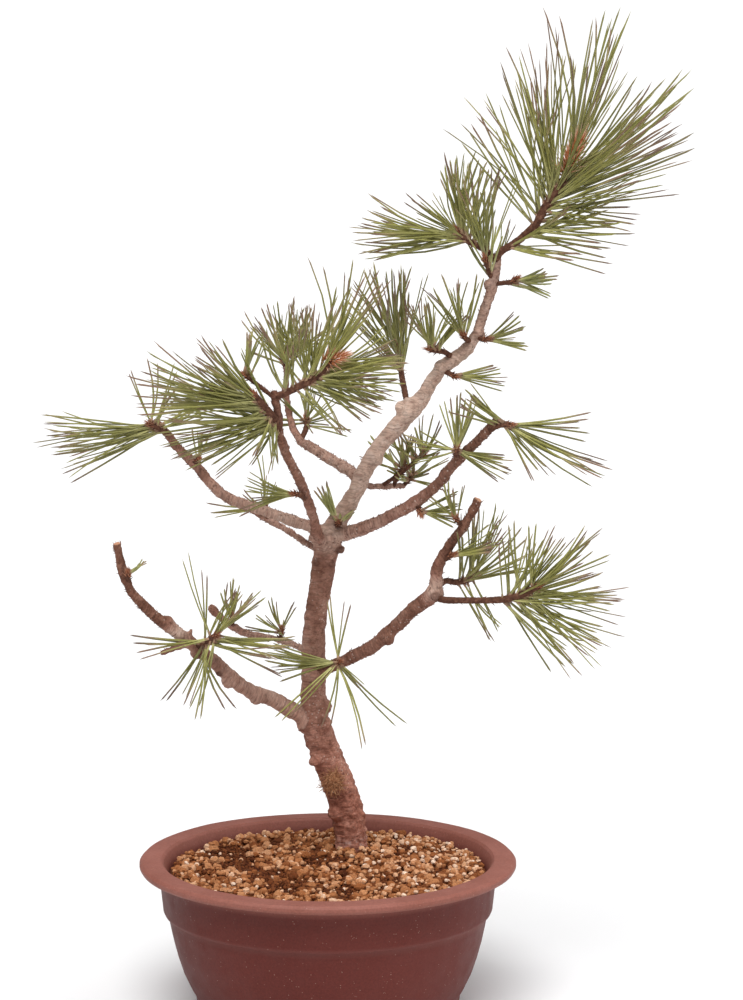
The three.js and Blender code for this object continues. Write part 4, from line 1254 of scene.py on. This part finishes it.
def make_shoots():
    chance = random.Random(23)
    templates = {length: [needle_pair(length, *shape) for shape in PAIR_SHAPES]
                 for length in TEMPLATE_LENGTHS}
    scale = scale_template("leaf_base", 3.0, 0.9)
    grown = needle_look("pine_needles", (0.42, 0.4, 0.165), (0.232, 0.222, 0.06),
                        (0.275, 0.225, 0.1), (0.205, 0.125, 0.08), 0.66)
    young = needle_look("young_pine_needles", (0.52, 0.48, 0.26), (0.28, 0.28, 0.092),
                        (0.29, 0.255, 0.105), (0.26, 0.18, 0.105), 0.7)
    twig_material = twig_look()
    bud_material = scale_look("bud_scales", (0.2, 0.058, 0.026), (0.36, 0.125, 0.06),
                              (0.56, 0.29, 0.17))
    candle_material = scale_look("candle_scales", (0.48, 0.15, 0.055), (0.76, 0.32, 0.14),
                                 (0.98, 0.78, 0.64))
    for shoot in SHOOTS:
        make_needles(shoot, templates, chance, young if shoot.get("young") else grown)
        make_twig(shoot, scale, chance, twig_material)
        make_bud(shoot, scale, chance, candle_material if "bud_length" in shoot else bud_material)
    remove([pair for pairs in templates.values() for pair in pairs] + [scale])


# ---- Moss and the drain meshes ----

def make_moss():
    """A tangle of dry fibres on a small cushion."""
    chance = random.Random(5)
    low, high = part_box("moss_tuft")
    middle = (Vector(low) + Vector(high)) / 2
    cushion = primitive("moss_cushion", bpy.ops.mesh.primitive_ico_sphere_add, subdivisions=4,
                        radius=1, location=middle, scale=mm(MOSS_SIZE))
    roughen(cushion, "moss_tangle", 2.2, 2.4, detail=3)
    fibre = primitive("fibre", bpy.ops.mesh.primitive_cone_add, vertices=3, radius1=0.34 * MM,
                      radius2=0.1 * MM, depth=FIBRE_LENGTH * MM,
                      location=(0, 0, FIBRE_LENGTH / 2 * MM))
    edit(fibre)
    bpy.ops.mesh.subdivide(number_cuts=2)
    leave_edit()
    modify(fibre, "SIMPLE_DEFORM", deform_method="BEND", angle=math.radians(FIBRE_BEND),
           deform_axis="X")
    fibres = []
    for _ in range(FIBRES):
        way = Vector((chance.gauss(0, 1), chance.gauss(-0.7, 0.6), chance.gauss(-0.1, 1))).normalized()
        foot = Vector([part * reach for part, reach in zip(way, FIBRE_FEET)])
        lay = (way + Vector([chance.gauss(0, 0.9) for _ in range(3)])).normalized()
        size = chance.uniform(0.5, 1.15)
        fibres.append(copy_of(fibre, stand(middle / MM + foot, lay, chance.uniform(-3, 3),
                                           (1, 1, size))))
    moss = join([cushion] + fibres, "dry_moss")
    smooth(moss)
    finish_piece(moss, moss_look(), ["moss_tuft"])
    remove([fibre])


def dress_drain_meshes():
    look = plastic_mesh_look()
    for index in range(len(DRAIN_HOLE_ANGLES)):
        dress(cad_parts["drain_mesh_%d" % (index + 1)], look)


# ---- The whole thing ----

set_camera()
set_studio()
make_pot()
make_soil()
make_bark()
make_shoots()
make_moss()
dress_drain_meshes()
